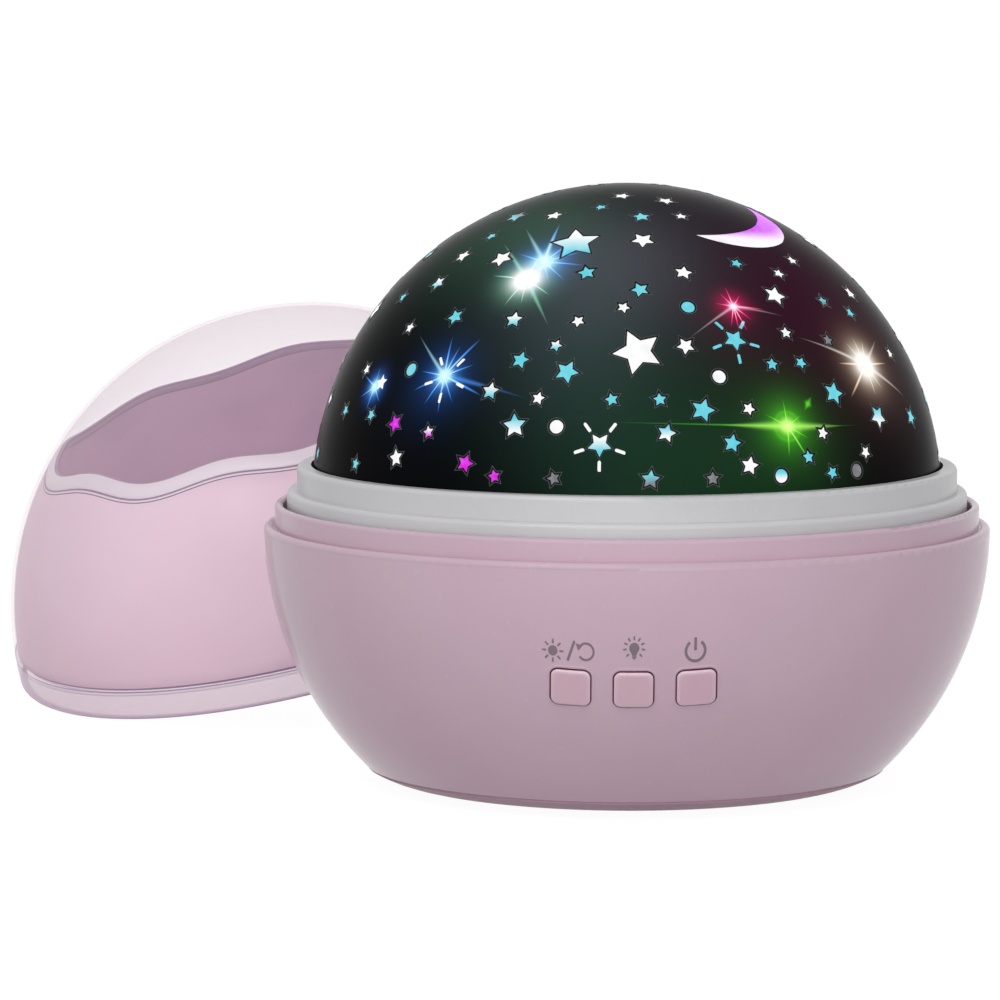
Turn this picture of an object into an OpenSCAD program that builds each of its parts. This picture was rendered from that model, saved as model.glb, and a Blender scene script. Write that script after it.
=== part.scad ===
// Star night light projector: a bowl-shaped base, a motor-driven star dome and a loose lift-off cover.
// Millimetres. Z is up and Z = 0 is the table. The unit turns about the Z axis, and its buttons face -Y.

/* [Base] */
// Largest diameter of the bowl, at its shoulder
body_d = 130; // [126:1:136]
// Height of the shoulder above the table
shoulder_z = 46.2; // [45:0.2:50]
// Radius of the arc that the bowl's side follows
bowl_arc_r = 59.8; // [59:0.2:61]
// Wall of the moulded bowl
wall = 2.2; // [1.8:0.1:2.6]
// Height of the parting line between bowl and bottom cover
part_z = 3.3; // [3.2:0.1:4]
// Floor thickness of the bottom cover
floor_t = 2.4; // [2.2:0.1:2.8]
// Height of the rubber feet under the bottom cover
foot_h = 0.6; // [0.6:0.1:1.6]
// Diameter of a rubber foot
foot_d = 8; // [7:0.5:9]
// Height of the upright lip above the shoulder
lip_h = 4.2; // [3.6:0.2:5]
// Thickness of the lip
lip_t = 1.5; // [1.2:0.1:1.8]

/* [Turntable] */
// Gap between the lip and the turning ring
ring_gap = 0.7; // [0.5:0.1:1]
// Height of the ring's lower tier above the lip
lower_tier_h = 2.4; // [2:0.2:3]
// Height of the ring's upper tier above the lower one
upper_tier_h = 4.4; // [3.6:0.2:5]
// Step in radius between the two tiers
tier_step = 1.8; // [1.6:0.1:2]
// Thickness of the upper tier
tier_t = 2.5; // [2.2:0.1:2.8]
// Teeth of the internal gear, a multiple of 4
ring_teeth = 80; // [76:4:80]
// Teeth of the drive pinion, a multiple of 2
pinion_teeth = 12; // [12:2:14]
// Radial gap between the ring gear and the dome's flange
gear_gap = 0.35; // [0.3:0.05:0.6]
// Diameter of the motor's output shaft
shaft_d = 3; // [2.5:0.1:3.5]

/* [Star dome] */
// Thickness of the dark star mask
mask_t = 0.8; // [0.6:0.1:1]
// Thickness of the clear dome under the mask
dome_t = 1.5; // [1.2:0.1:1.8]
// Width across a small star window
small_star = 2.5; // [2.1:0.1:2.6]
// Width across a medium star window
medium_star = 3.4; // [2.8:0.1:3.5]
// Width across a large star window
large_star = 4.4; // [3.8:0.1:4.6]
// Width across the two giant star windows
giant_star = 8.8; // [7.8:0.1:9]
// Diameter of a round window
dot_d = 2.4; // [1.9:0.1:2.6]
// Outer radius of the crescent window
moon_r = 13.3; // [12:0.1:13.5]

/* [Cover] */
// Wall of the clear cover shell at its rim
cover_t = 1.6; // [1.4:0.1:1.8]
// Height of the clear rim band below the liner
rim_band = 5.7; // [5:0.1:7]
// Thickness of the coloured liner
liner_t = 0.9; // [0.7:0.1:1]
// Mean height of the liner's wavy edge above the rim
wave_h = 41.5; // [38:0.5:44]
// Height of the waves, up or down from the mean
wave_amp = 1.3; // [0.6:0.1:2]
// Number of waves round the edge
waves = 8; // [5:1:10]
// Tilt of the loose cover as it lies
cover_tilt = 17; // [10:1:20]

/* [Power] */
// Diameter of one cell
cell_d = 10.5; // [10.4:0.05:10.6]
// Length of one cell with its button
cell_l = 44.5; // [44:0.1:45]
// Length of a seated contact spring
spring_l = 6; // [5:0.5:6.5]
// Thickness of the battery door
door_t = 1.4; // [1.2:0.1:1.6]

/* [Controls] */
// Width of a square button
button_w = 6.6; // [6.2:0.1:7.2]
// Spacing of the three buttons
button_pitch = 10.6; // [10.2:0.1:11]
// How far a button stands proud of the bowl
button_proud = 0.5; // [0.3:0.1:0.8]
// How far the button row faces below the horizontal, in degrees
panel_drop = 21; // [19:0.2:23]
// Depth of the switch board behind the bowl's face
switch_depth = 13; // [12.5:0.1:14]

/* [Hidden] */

$fn = 96;
eps = 0.01;
fit = 0.25;        // easy clearance between mouldings
touch = 0.05;      // radial clearance of a shaft, a plunger or a screw shank in its hole
glide = 0.1;       // height that a turning face clears the face it glides on

pink = [0.80, 0.70, 0.76];
inner_white = [0.90, 0.90, 0.91];
steel = [0.72, 0.73, 0.75];
board_green = [0.10, 0.36, 0.22];

body_r = body_d / 2;
arc_x = body_r - bowl_arc_r;
base_z = foot_h;
floor_top = base_z + floor_t;

// Shoulder bead, lip and the ledge that the deck plate rests on
bead_r = 0.9;
bead_z = shoulder_z - 0.5;
bead_proud = 0.05;
shoulder_step = 1.9;
lip_r = body_r - shoulder_step;
lip_in = lip_r - lip_t;
lip_top = shoulder_z + lip_h;
deck_t = 2;
deck_z = shoulder_z - 0.6;
deck_under = deck_z - deck_t;
ledge_w = 4;
ledge_t = 2;
ledge_under = deck_under - ledge_t;
deck_screw_r = lip_in - ledge_w / 2;

// Turning ring
turn_under = deck_z + 1.9;
turn_floor_t = 1.8;
turn_floor = turn_under + turn_floor_t;
ring_r = lip_in - ring_gap;
ledge_z = lip_top + lower_tier_h;
ring_top = ledge_z + upper_tier_h;
tier_r = ring_r - tier_step;
ring_bore = tier_r - tier_t;
ring_wall = 1.6;
ring_edge_r = 0.9;
rail_r = ring_bore + 0.8;
rail_w = 1.7;

// Dome and mask are concentric spheres
dome_z = lip_top + 0.6;
mask_r = ring_bore - 0.2;
dome_r = mask_r - mask_t - touch;
dome_in = dome_r - dome_t;
flange_w = 2.6;
flange_t = 1.8;
dome_screw_r = dome_in - 0.9;

// Gears: the ring gear fills the room inside the dome's flange, and the pinion sits at -X
pressure_angle = 20;
tip_share = 0.9;
root_share = 1.25;
gear_rim = 1.6;
gear_outer = dome_in - flange_w - gear_gap;
gear_module = (gear_outer - gear_rim) / (ring_teeth / 2 + root_share);
ring_pitch_r = ring_teeth * gear_module / 2;
pinion_pitch_r = pinion_teeth * gear_module / 2;
pinion_x = -(ring_pitch_r - pinion_pitch_r);
gear_play = 0.12;
tooth_tip = tip_share * gear_module;
tooth_root = root_share * gear_module;
gear_h = 4;
gear_top = turn_under + gear_h;

// Screws
screw_d = 2.4;
head_d = 4.6;
head_t = 1.6;
pilot_d = screw_d + 2 * touch;
boss_d = 6;

// Battery bay for four cells side by side, measured from the cells
cells = 4;
cell_pitch = cell_d + 0.3;
plate_t = 0.4;
bay_w = cells * cell_pitch + 0.4;
bay_l = cell_l + spring_l + 2 * plate_t;
bay_wall = 1.4;
door_top = base_z + door_t;
cell_z = door_top + 0.3 + cell_d / 2;
bay_roof = cell_z + cell_d / 2 + 0.3;
bay_top = bay_roof + bay_wall;
door_ledge = 1.5;
door_w = bay_w + 2 * door_ledge;
door_l = bay_l + 2 * door_ledge;
lug_y = door_l / 2 + 3.2;
lug_r = 4.6;
cup_r = 3.5;
cup_h = 0.8;
cup_head = 1.2;

// Bottom dish and its screws, which the feet hide
dish_r = bowl_out(part_z) - 0.3;
dish_edge_w = 8.6;
dish_edge_h = 0.43;
flat_r = dish_r - dish_edge_w;
dish_rise = part_z - dish_edge_h - base_z;
dish_arc = (pow(dish_edge_w, 2) + pow(dish_rise, 2)) / (2 * dish_rise);
collar_r = bowl_in(part_z) - 0.3;
collar_top = part_z + 3.4;
case_screw_x = 29;
case_screw_y = 16;
foot_sunk = 0.8;
seat_z = base_z + foot_sunk;
head_seat = seat_z + head_t;
boss_split = floor_top + 2.4;
case_boss_top = boss_split + 9;

// LED post and board
post_flange_r = 16;
post_flange_t = 1.6;
post_r = 9;
post_wall = 1.6;
post_top = deck_z + 18;
post_screw_r = 12.4;
lead_hole_r = 5;
led_board_r = 10.5;
led_board_t = 1.6;
led_d = 5;
led_ring = 4.6;

// Hold-down clips
clip_az = [0, 120, 240];
clip_post_r = ring_pitch_r - tooth_tip - 4.6;
clip_z = gear_top + 0.3;
clip_t = 1.4;
clip_w = 9;
clip_reach = gear_outer - 0.6;

// Motor and gearbox hang under the deck
gearbox_r = 12.5;
gearbox_h = 9;
gearbox_under = deck_under - gearbox_h;
can_r = 10.5;
can_h = 13;
can_under = gearbox_under - can_h;
spindle_boss_r = 3.6;
spindle_boss_h = 2.8;
ear_y = 17;
ear_t = 2;
ear_w = 7;

// Main board over the battery bay, with a tongue that carries the power inlet at +Y
board_t = 1.6;
board_z = bay_top + 2.8;
board_top = board_z + board_t;
board_w = 50;
board_l = 40;
tongue_w = 12;
usb_w = 7.5;
usb_h = 2.6;
usb_l = 5.6;
usb_z = board_top + usb_h / 2;
usb_mouth = bowl_out(usb_z) - 1;
tongue_y = bowl_in(board_z) - 0.8;
board_screw_in = 3.5;
board_screw_x = board_w / 2 - board_screw_in;
board_screw_y = board_l / 2 - board_screw_in;
socket_w = 4;
socket_h = 4.4;
socket_wall = 0.8;
socket_floor = 1.4;
lamp_socket = [12, 8];
motor_socket = [-18, -4];
battery_socket = [-6, -14];
lead_d = 1.2;
lead_gap = 0.15;

// Button row: a frame on the bowl's face whose local Z points out along the button axis
panel_r = arc_x + bowl_arc_r * cos(panel_drop);
panel_z = shoulder_z - bowl_arc_r * sin(panel_drop);
button_x = [-button_pitch, 0, button_pitch];
button_corner = 1.2;
button_play = 0.25;
flange_edge = 1;
flange_thick = 1;
travel = 0.8;
switch_w = 6;
switch_h = 3.4;
plunger_d = 3.4;
plunger_up = 1.2;
plunger_in = 1.2;
switch_board_w = 43;
switch_board_l = 12;
switch_board_t = 1.6;
switch_boss_x = 18.4;

// Cover: a hemispherical shell that seats on the ring's ledge, here lying tilted beside the unit
cover_fit = 0.2;
cover_in = tier_r + cover_fit;
cover_r = cover_in + cover_t;
skin_t = 0.65;
liner_r = cover_r - skin_t - touch;
liner_in = liner_r - liner_t;
wave_steps = 144;
cover_gap = 3.75;
cover_bearing = 118.07;
cover_x = (body_r + cover_r + cover_gap) * cos(cover_bearing);
cover_y = (body_r + cover_r + cover_gap) * sin(cover_bearing);
cover_az = -143.7;
rim_mid = (cover_in + cover_r) / 2;
rim_round = cover_t / 2;
cover_z = rim_mid * sin(cover_tilt) + rim_round * (1 - cos(cover_tilt));

// Star windows on the front half, as belts: [elevation, [azimuths from -Y towards +X]]
small_belts = [
    [70, [-15]], [66, [23]], [58, [-54]], [51, [-24, 31, 53]], [48, [43]], [41, [-69, -2, 52]],
    [38, [-12, 60]], [35, [-56, 35]], [33, [-16, 46]], [29, [29, 36, 68]], [26, [-65]],
    [23, [-18, -4, 5]], [21, [22]], [18, [-68, -57]], [16, [-40, 37]], [12, [33, 47]],
    [9, [-59, -25, -14, 14, 38]]];
medium_belts = [
    [76, [-5]], [73, [23]], [66, [-35, 5]], [52, [-57]], [49, [-12, 14]], [45, [-57, 2]],
    [42, [68]], [38, [-43, -27]], [33, [11]], [30, [-23]], [24, [-57, -28]], [17, [-49, 6, 66]],
    [15, [18]], [11, [-47, -31, 21]], [9, [3]]];
large_belts = [
    [65, [-56]], [58, [4]], [52, [-40]], [43, [37]], [28, [-13, 55]], [23, [42]], [21, [13]],
    [18, [-22, 53]], [47, [-27]]];
giant_belts = [[57, [-18]], [32, [1]]];
ray_belts = [[34, [22]], [26, [-39]], [15, [-6]]];
dot_belts = [[41, [13]], [27, [-49, 17]], [18, [-14]], [9, [27, 44]]];
moon_az = 46.7;
moon_el = 68.5;
moon_turn = -65;
moon_cut_r = 1.25 * moon_r;
moon_shift = 0.68 * moon_r;
star_waist = 0.5;
star_rays = 5;
ray_in = 0.62;
ray_out = 1.05;
ray_w = 0.6;

// ---------------------------------------------------------------- functions

function bowl_in(z) = arc_x + sqrt(pow(bowl_arc_r - wall, 2) - pow(shoulder_z - z, 2));
function bowl_out(z) = arc_x + sqrt(pow(bowl_arc_r, 2) - pow(shoulder_z - z, 2));

// Drop of the bowl's face below the button row's frame at a distance x to the side
function face_sag(x) = bowl_arc_r - sqrt(pow(bowl_arc_r, 2) - x * x);

function star(width) = [for (i = [0:9])
    (i % 2 == 0 ? width / 2 : width / 2 * star_waist) * [sin(36 * i), cos(36 * i)]];

// Involute gear outline: half the angle of a tooth at radius r, in degrees
function involute(r, base) = r <= base ? 0 : tan(acos(base / r)) * 180 / PI - acos(base / r);
function half_tooth(r, pitch, teeth, play) =
    90 / teeth + involute(pitch, pitch * cos(pressure_angle))
    - involute(r, pitch * cos(pressure_angle)) + play / pitch * 180 / PI;
function gear_outline(teeth, pitch, radii, play) = [for (i = [0:teeth - 1])
    for (side = [-1, 1])
        for (k = side < 0 ? [0:len(radii) - 1] : [len(radii) - 1:-1:0])
            let (a = 360 / teeth * i + side * half_tooth(radii[k], pitch, teeth, play))
                radii[k] * [cos(a), sin(a)]];

function unit(v) = v / norm(v);
function along(path, i) = unit(path[min(i + 1, len(path) - 1)] - path[max(i - 1, 0)]);
function side_of(d) = unit(cross(d, abs(d[2]) < 0.9 ? [0, 0, 1] : [1, 0, 0]));

// Catmull-Rom curve through hand-placed points
function spline_point(p, i, t) =
    let (a = p[max(i - 1, 0)], b = p[i], c = p[i + 1], d = p[min(i + 2, len(p) - 1)])
        b + t / 2 * (c - a + t * (2 * a - 5 * b + 4 * c - d + t * (3 * b - a - 3 * c + d)));
function spline(p, steps) = concat(
    [for (i = [0:len(p) - 2]) for (k = [0:steps - 1]) spline_point(p, i, k / steps)],
    [p[len(p) - 1]]);

// ---------------------------------------------------------------- shared shapes

// Round wire swept along a path
module wire(path, d, sides = 8) {
    rings = len(path);
    points = [for (i = [0:rings - 1])
        let (dir = along(path, i), u = side_of(dir), v = cross(dir, u))
            for (k = [0:sides - 1]) path[i] + d / 2 * (u * cos(360 / sides * k) + v * sin(360 / sides * k))];
    skin = [for (i = [0:rings - 2]) for (k = [0:sides - 1])
        let (a = i * sides + k, b = i * sides + (k + 1) % sides) each [[a, a + sides, b], [b, a + sides, b + sides]]];
    start = [[for (k = [0:sides - 1]) k]];
    end = [[for (k = [sides - 1:-1:0]) (rings - 1) * sides + k]];
    polyhedron(points = points, faces = concat(skin, start, end));
}

module rounded_rect(w, l, r) {
    square([w - 2 * r, l], center = true);
    square([w, l - 2 * r], center = true);
    for (x = [-1, 1], y = [-1, 1])
        translate([x * (w / 2 - r), y * (l / 2 - r)]) circle(r = r);
}

module ring_2d(r_in, r_out, z0, z1) {
    translate([r_in, z0]) square([r_out - r_in, z1 - z0]);
}

// Pan-head screw, its head's underside at Z = 0 and its shank down -Z
module screw(length) {
    difference() {
        cylinder(d = head_d, h = head_t);
        for (a = [0, 90])
            rotate([0, 0, a]) translate([-1.3, -0.3, head_t - 0.8]) cube([2.6, 0.6, 1]);
    }
    translate([0, 0, -length]) cylinder(d = screw_d, h = length + eps);
}

module around(angles, r, z) {
    for (a = angles)
        rotate([0, 0, a]) translate([r, 0, z]) children();
}

module at_case_screws(z) {
    for (x = [-1, 1], y = [-1, 1])
        translate([x * case_screw_x, y * case_screw_y, z]) children();
}

// Places children on the dome: local Z points out, local Y points up the dome
module on_dome(az, el) {
    translate([0, 0, dome_z]) rotate([0, 0, az]) rotate([90 - el, 0, 0]) children();
}

module on_panel(x) {
    translate([0, -panel_r, panel_z]) rotate([90 + panel_drop, 0, 0]) translate([x, 0, 0]) children();
}

module spherical_shell(r_out, r_in, z_centre, z_from) {
    rotate_extrude()
        intersection() {
            translate([0, z_centre]) difference() {
                circle(r = r_out);
                circle(r = r_in);
            }
            translate([0, z_from]) square([r_out + 1, 2 * r_out]);
        }
}

// ---------------------------------------------------------------- base

// Everything inside the middle of the bowl's wall, to trim bosses and ribs
module bowl_core() {
    rotate_extrude()
        intersection() {
            translate([arc_x, shoulder_z]) circle(r = bowl_arc_r - wall / 2);
            translate([0, part_z]) square([body_r, shoulder_z - part_z]);
        }
}

module bowl_profile() {
    intersection() {
        translate([arc_x, shoulder_z]) difference() {
            circle(r = bowl_arc_r);
            circle(r = bowl_arc_r - wall);
        }
        ring_2d(body_r / 3, body_r + 1, part_z, bead_z);
    }
    translate([body_r - bead_r + bead_proud, bead_z]) circle(r = bead_r);
    ring_2d(lip_in, body_r - bead_r, ledge_under, shoulder_z);
    ring_2d(lip_in, lip_r, ledge_under, lip_top - lip_t / 2);
    translate([lip_r - lip_t / 2, lip_top - lip_t / 2]) circle(r = lip_t / 2);
    ring_2d(lip_in - ledge_w, lip_in + lip_t, ledge_under, deck_under);
}

module base_shell() {
    color(pink) difference() {
        union() {
            difference() {
                rotate_extrude() bowl_profile();
                // square holes for the buttons
                for (x = button_x)
                    on_panel(x) translate([0, 0, -3 * wall]) linear_extrude(5 * wall)
                        rounded_rect(button_w + 2 * button_play, button_w + 2 * button_play,
                                     button_corner + button_play);
            }
            // bosses for the case screws, tied to the wall by ribs
            intersection() {
                at_case_screws(boss_split) cylinder(d = boss_d, h = case_boss_top - boss_split);
                bowl_core();
            }
            intersection() {
                for (x = [-1, 1], y = [-1, 1])
                    rotate([0, 0, atan2(y * case_screw_y, x * case_screw_x)])
                        translate([norm([case_screw_x, case_screw_y]), -0.8, collar_top + fit])
                            cube([body_r / 2, 1.6, case_boss_top - collar_top - 2]);
                bowl_core();
            }
            // bosses that carry the switch board
            intersection() {
                for (x = [-1, 1])
                    on_panel(x * switch_boss_x) translate([0, 0, -switch_depth])
                        cylinder(d = 5, h = switch_depth);
                bowl_core();
            }
        }
        at_case_screws(boss_split - eps) cylinder(d = pilot_d, h = 8);
        for (x = [-1, 1])
            on_panel(x * switch_boss_x) translate([0, 0, -switch_depth - eps])
                cylinder(d = pilot_d, h = 6);
        around([60, 180, 300], deck_screw_r, ledge_under - eps)
            cylinder(d = screw_d + 0.4, h = ledge_t + 2 * eps);
        // mouth for the power inlet
        translate([0, bowl_in(usb_z) - 4, usb_z]) rotate([-90, 0, 0])
            linear_extrude(12) rounded_rect(usb_w + 2 * fit, usb_h + 2 * fit, 0.8);
    }
}

module dish_profile() {
    ring_2d(0, flat_r + eps, base_z, floor_top);
    intersection() {
        translate([flat_r, base_z + dish_arc]) difference() {
            circle(r = dish_arc);
            circle(r = dish_arc - floor_t);
        }
        ring_2d(flat_r, dish_r, base_z, part_z);
    }
    ring_2d(collar_r - 1.6, collar_r, part_z - 0.6, collar_top);
}

module door_outline(grow) {
    rounded_rect(door_w + 2 * grow, door_l + 2 * grow, 2);
    for (y = [-1, 1]) {
        translate([0, y * lug_y]) circle(r = lug_r + grow);
        translate([0, y * lug_y / 2]) square([2 * (lug_r + grow), lug_y], center = true);
    }
}

module bottom_cover() {
    color(pink) difference() {
        union() {
            rotate_extrude() dish_profile();
            // battery bay, its roof under the main board
            translate([0, 0, base_z + floor_t / 2]) linear_extrude(bay_top - base_z - floor_t / 2)
                rounded_rect(bay_w + 2 * bay_wall, bay_l + 2 * bay_wall, 1);
            at_case_screws(base_z + floor_t / 2) cylinder(d = boss_d, h = boss_split - base_z - floor_t / 2);
            for (y = [-1, 1])
                translate([0, y * lug_y, floor_top - eps]) cylinder(r = cup_r + 1.2, h = 7);
            for (x = [-1, 1], y = [-1, 1])
                translate([x * board_screw_x, y * board_screw_y, bay_top - eps])
                    cylinder(d = 5, h = board_z - bay_top + eps);
        }
        translate([-bay_w / 2, -bay_l / 2, -eps]) cube([bay_w, bay_l, bay_roof + eps]);
        translate([0, 0, -eps]) linear_extrude(door_top + eps) door_outline(fit);
        for (y = [-1, 1])
            translate([0, y * lug_y, 0]) {
                cylinder(r = cup_r + fit, h = door_top + cup_h + 0.1);
                cylinder(d = pilot_d, h = floor_top + 6);
            }
        at_case_screws(-eps) {
            cylinder(d = foot_d + 2 * touch, h = seat_z + eps);
            cylinder(d = head_d + 2 * fit, h = head_seat + eps);
            cylinder(d = screw_d + 0.4, h = boss_split + 1);
        }
        for (x = [-1, 1], y = [-1, 1])
            translate([x * board_screw_x, y * board_screw_y, bay_top - 0.6])
                cylinder(d = pilot_d, h = board_z - bay_top + 1);
        // slots that let the battery leads out at both ends of the bay
        for (x = [-1, 1])
            translate([x * 1.5 * cell_pitch - 1.5, -bay_l / 2 - bay_wall - 1, bay_roof - 4])
                cube([3, bay_wall + 2, 3]);
    }
}

module battery_door() {
    color(pink) difference() {
        union() {
            translate([0, 0, base_z]) linear_extrude(door_t) door_outline(0);
            for (y = [-1, 1])
                translate([0, y * lug_y, base_z]) cylinder(r = cup_r, h = door_t + cup_h);
        }
        for (y = [-1, 1])
            translate([0, y * lug_y, -eps]) {
                cylinder(d = head_d + 2 * fit, h = base_z + cup_head + eps);
                cylinder(d = screw_d + 0.4, h = 10);
            }
        // finger ribs pressed into the outer face
        for (i = [-2:2])
            translate([-9, i * 2.4 - 0.4, -eps]) cube([18, 0.8, base_z + 0.4]);
    }
}

module door_screws() {
    color(steel) for (y = [-1, 1])
        translate([0, y * lug_y, base_z + cup_head]) mirror([0, 0, 1])
            screw_short(5);
}

// Low-head screw of the battery door
module screw_short(length) {
    difference() {
        cylinder(d = head_d, h = cup_head - 0.1);
        for (a = [0, 90])
            rotate([0, 0, a]) translate([-1.3, -0.3, cup_head - 0.7]) cube([2.6, 0.6, 1]);
    }
    translate([0, 0, -length]) cylinder(d = screw_d, h = length + eps);
}

module case_screws() {
    color(steel) at_case_screws(head_seat) mirror([0, 0, 1]) screw(boss_split - head_seat + 6);
}

module foot(i) {
    x = i % 2 == 0 ? 1 : -1;
    y = i < 2 ? -1 : 1;
    color([0.92, 0.90, 0.91]) translate([x * case_screw_x, y * case_screw_y, 0])
        rotate_extrude() {
            ring_2d(0, foot_d / 2 - 0.4, 0, seat_z - touch);
            ring_2d(0, foot_d / 2, 0.4, seat_z - touch);
        }
}

module deck_plate() {
    color(inner_white) difference() {
        union() {
            rotate_extrude() {
                ring_2d(lead_hole_r, lip_in - fit, deck_under, deck_z);
                ring_2d(rail_r - rail_w, rail_r, deck_z - eps, turn_under - glide);
                ring_2d(lead_hole_r, lead_hole_r + 1.4, deck_under - 2, deck_under + eps);
            }
            around(clip_az, clip_post_r, deck_z - eps) cylinder(d = boss_d, h = clip_z - deck_z);
            around([60, 180, 300], deck_screw_r, deck_z - eps)
                cylinder(d = 3.6, h = turn_under - deck_z - 0.3);
            around([30, 150, 270], post_screw_r, deck_under - 2) cylinder(d = 5, h = 2 + eps);
            for (y = [-1, 1])
                translate([pinion_x, y * ear_y, deck_z - eps]) cylinder(d = 5, h = 1.4);
        }
        around(clip_az, clip_post_r, deck_z) cylinder(d = pilot_d, h = 10);
        around([60, 180, 300], deck_screw_r, deck_under - eps) cylinder(d = pilot_d, h = 3);
        around([30, 150, 270], post_screw_r, deck_under - 1) cylinder(d = pilot_d, h = 4);
        translate([pinion_x, 0, deck_under - 1]) cylinder(r = spindle_boss_r + fit, h = deck_t + 3);
        for (y = [-1, 1])
            translate([pinion_x, y * ear_y, deck_under - eps]) cylinder(d = pilot_d, h = 3);
    }
}

module deck_screws() {
    color(steel) around([60, 180, 300], deck_screw_r, ledge_under)
        mirror([0, 0, 1]) screw(ledge_t + 2.6);
}

module turntable_clips() {
    color(inner_white) around(clip_az, 0, clip_z) difference() {
        linear_extrude(clip_t) {
            translate([clip_post_r - 3.4, -clip_w / 2]) square([clip_reach - clip_post_r + 3.4, clip_w]);
            translate([clip_post_r - 3.4, 0]) circle(d = clip_w);
        }
        translate([clip_post_r, 0, -1]) cylinder(d = screw_d + 0.4, h = clip_t + 2);
    }
}

module clip_screws() {
    color(steel) around(clip_az, clip_post_r, clip_z + clip_t) screw(clip_t + 4);
}

// ---------------------------------------------------------------- lamp post and boards

module led_post() {
    color(inner_white) difference() {
        rotate_extrude() {
            ring_2d(post_r - post_wall, post_flange_r, deck_z, deck_z + post_flange_t);
            ring_2d(post_r - post_wall, post_r, deck_z, post_top);
            ring_2d(2.6, led_board_r + 0.8, post_top - 1.6, post_top);
            ring_2d(led_board_r + fit, led_board_r + 1.2, post_top - 1.6, post_top + led_board_t);
        }
        around([30, 150, 270], post_screw_r, deck_z - 1) cylinder(d = screw_d + 0.4, h = 5);
    }
}

module post_screws() {
    color(steel) around([30, 150, 270], post_screw_r, deck_z + post_flange_t) screw(post_flange_t + 2.4);
}

module led_board() {
    color([0.93, 0.93, 0.90]) translate([0, 0, post_top]) difference() {
        cylinder(r = led_board_r, h = led_board_t);
        translate([0, 0, -1]) cylinder(r = 1.2, h = led_board_t + 2);
    }
}

module led(az, tint) {
    top = post_top + led_board_t;
    color(tint) rotate([0, 0, az]) translate([led_ring, 0, top]) {
        cylinder(d = led_d + 0.8, h = 1);
        cylinder(d = led_d, h = led_d);
        translate([0, 0, led_d]) rotate_extrude()
            intersection() {
                circle(d = led_d);
                translate([0, -eps]) square(led_d);
            }
    }
}

module main_board() {
    color(board_green) translate([0, 0, board_z]) difference() {
        linear_extrude(board_t) {
            rounded_rect(board_w, board_l, 1.5);
            translate([-tongue_w / 2, 0]) square([tongue_w, tongue_y]);
        }
        for (x = [-1, 1], y = [-1, 1])
            translate([x * board_screw_x, y * board_screw_y, -1]) cylinder(d = screw_d + 0.2, h = board_t + 2);
    }
}

module control_chip() {
    color([0.13, 0.13, 0.14]) translate([6, -6, board_top]) {
        translate([-3, -5, 0]) cube([6, 10, 1.6]);
        for (side = [-1, 1], i = [-3:3])
            translate([side * 3.4 - 0.5, i * 1.27 - 0.2, 0]) cube([1, 0.4, 0.5]);
    }
}

module capacitor() {
    color([0.20, 0.24, 0.42]) translate([-8, 12, board_top]) rotate_extrude() {
        ring_2d(0, 3.15, 0, 1.4);
        ring_2d(0, 2.9, 1.3, 1.8);
        ring_2d(0, 3.15, 1.7, 8);
        ring_2d(0, 2.6, 7.9, 8.3);
    }
}

// White sockets that the leads plug into: lamp, motor, battery
module lead_sockets() {
    color([0.94, 0.93, 0.88]) for (s = [[lamp_socket, 10], [motor_socket, 5], [battery_socket, 5]])
        translate([s[0][0] - s[1] / 2, s[0][1] - socket_w / 2, board_top]) difference() {
            cube([s[1], socket_w, socket_h]);
            translate([socket_wall, socket_wall, socket_floor])
                cube([s[1] - 2 * socket_wall, socket_w - 2 * socket_wall, socket_h]);
        }
}

module board_screws() {
    color(steel) {
        for (x = [-1, 1], y = [-1, 1])
            translate([x * board_screw_x, y * board_screw_y, board_top]) screw(board_t + 3);
        for (x = [-1, 1])
            on_panel(x * switch_boss_x) translate([0, 0, -switch_depth - switch_board_t])
                mirror([0, 0, 1]) screw(switch_board_t + 4);
    }
}

module switch_board() {
    color(board_green) on_panel(0) translate([0, 0, -switch_depth - switch_board_t]) difference() {
        linear_extrude(switch_board_t) rounded_rect(switch_board_w, switch_board_l, 1.5);
        for (x = [-1, 1])
            translate([x * switch_boss_x, 0, -1]) cylinder(d = screw_d + 0.2, h = switch_board_t + 2);
    }
}

// Push switch housing: local Z of the panel, standing on the switch board
module push_switch(i) {
    color([0.16, 0.16, 0.17]) on_panel(button_x[i]) translate([0, 0, -switch_depth]) difference() {
        union() {
            translate([-switch_w / 2, -switch_w / 2, 0]) cube([switch_w, switch_w, switch_h - 0.4]);
            translate([0, 0, switch_h - 0.5]) linear_extrude(0.5)
                rounded_rect(switch_w - 0.6, switch_w - 0.6, 0.5);
        }
        translate([0, 0, switch_h - plunger_in - travel - 0.2])
            cylinder(d = plunger_d + 2 * touch, h = switch_h);
    }
}

module plunger(i) {
    color([0.90, 0.88, 0.84]) on_panel(button_x[i])
        translate([0, 0, switch_h - switch_depth - plunger_in])
            cylinder(d = plunger_d, h = plunger_in + plunger_up);
}

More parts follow.
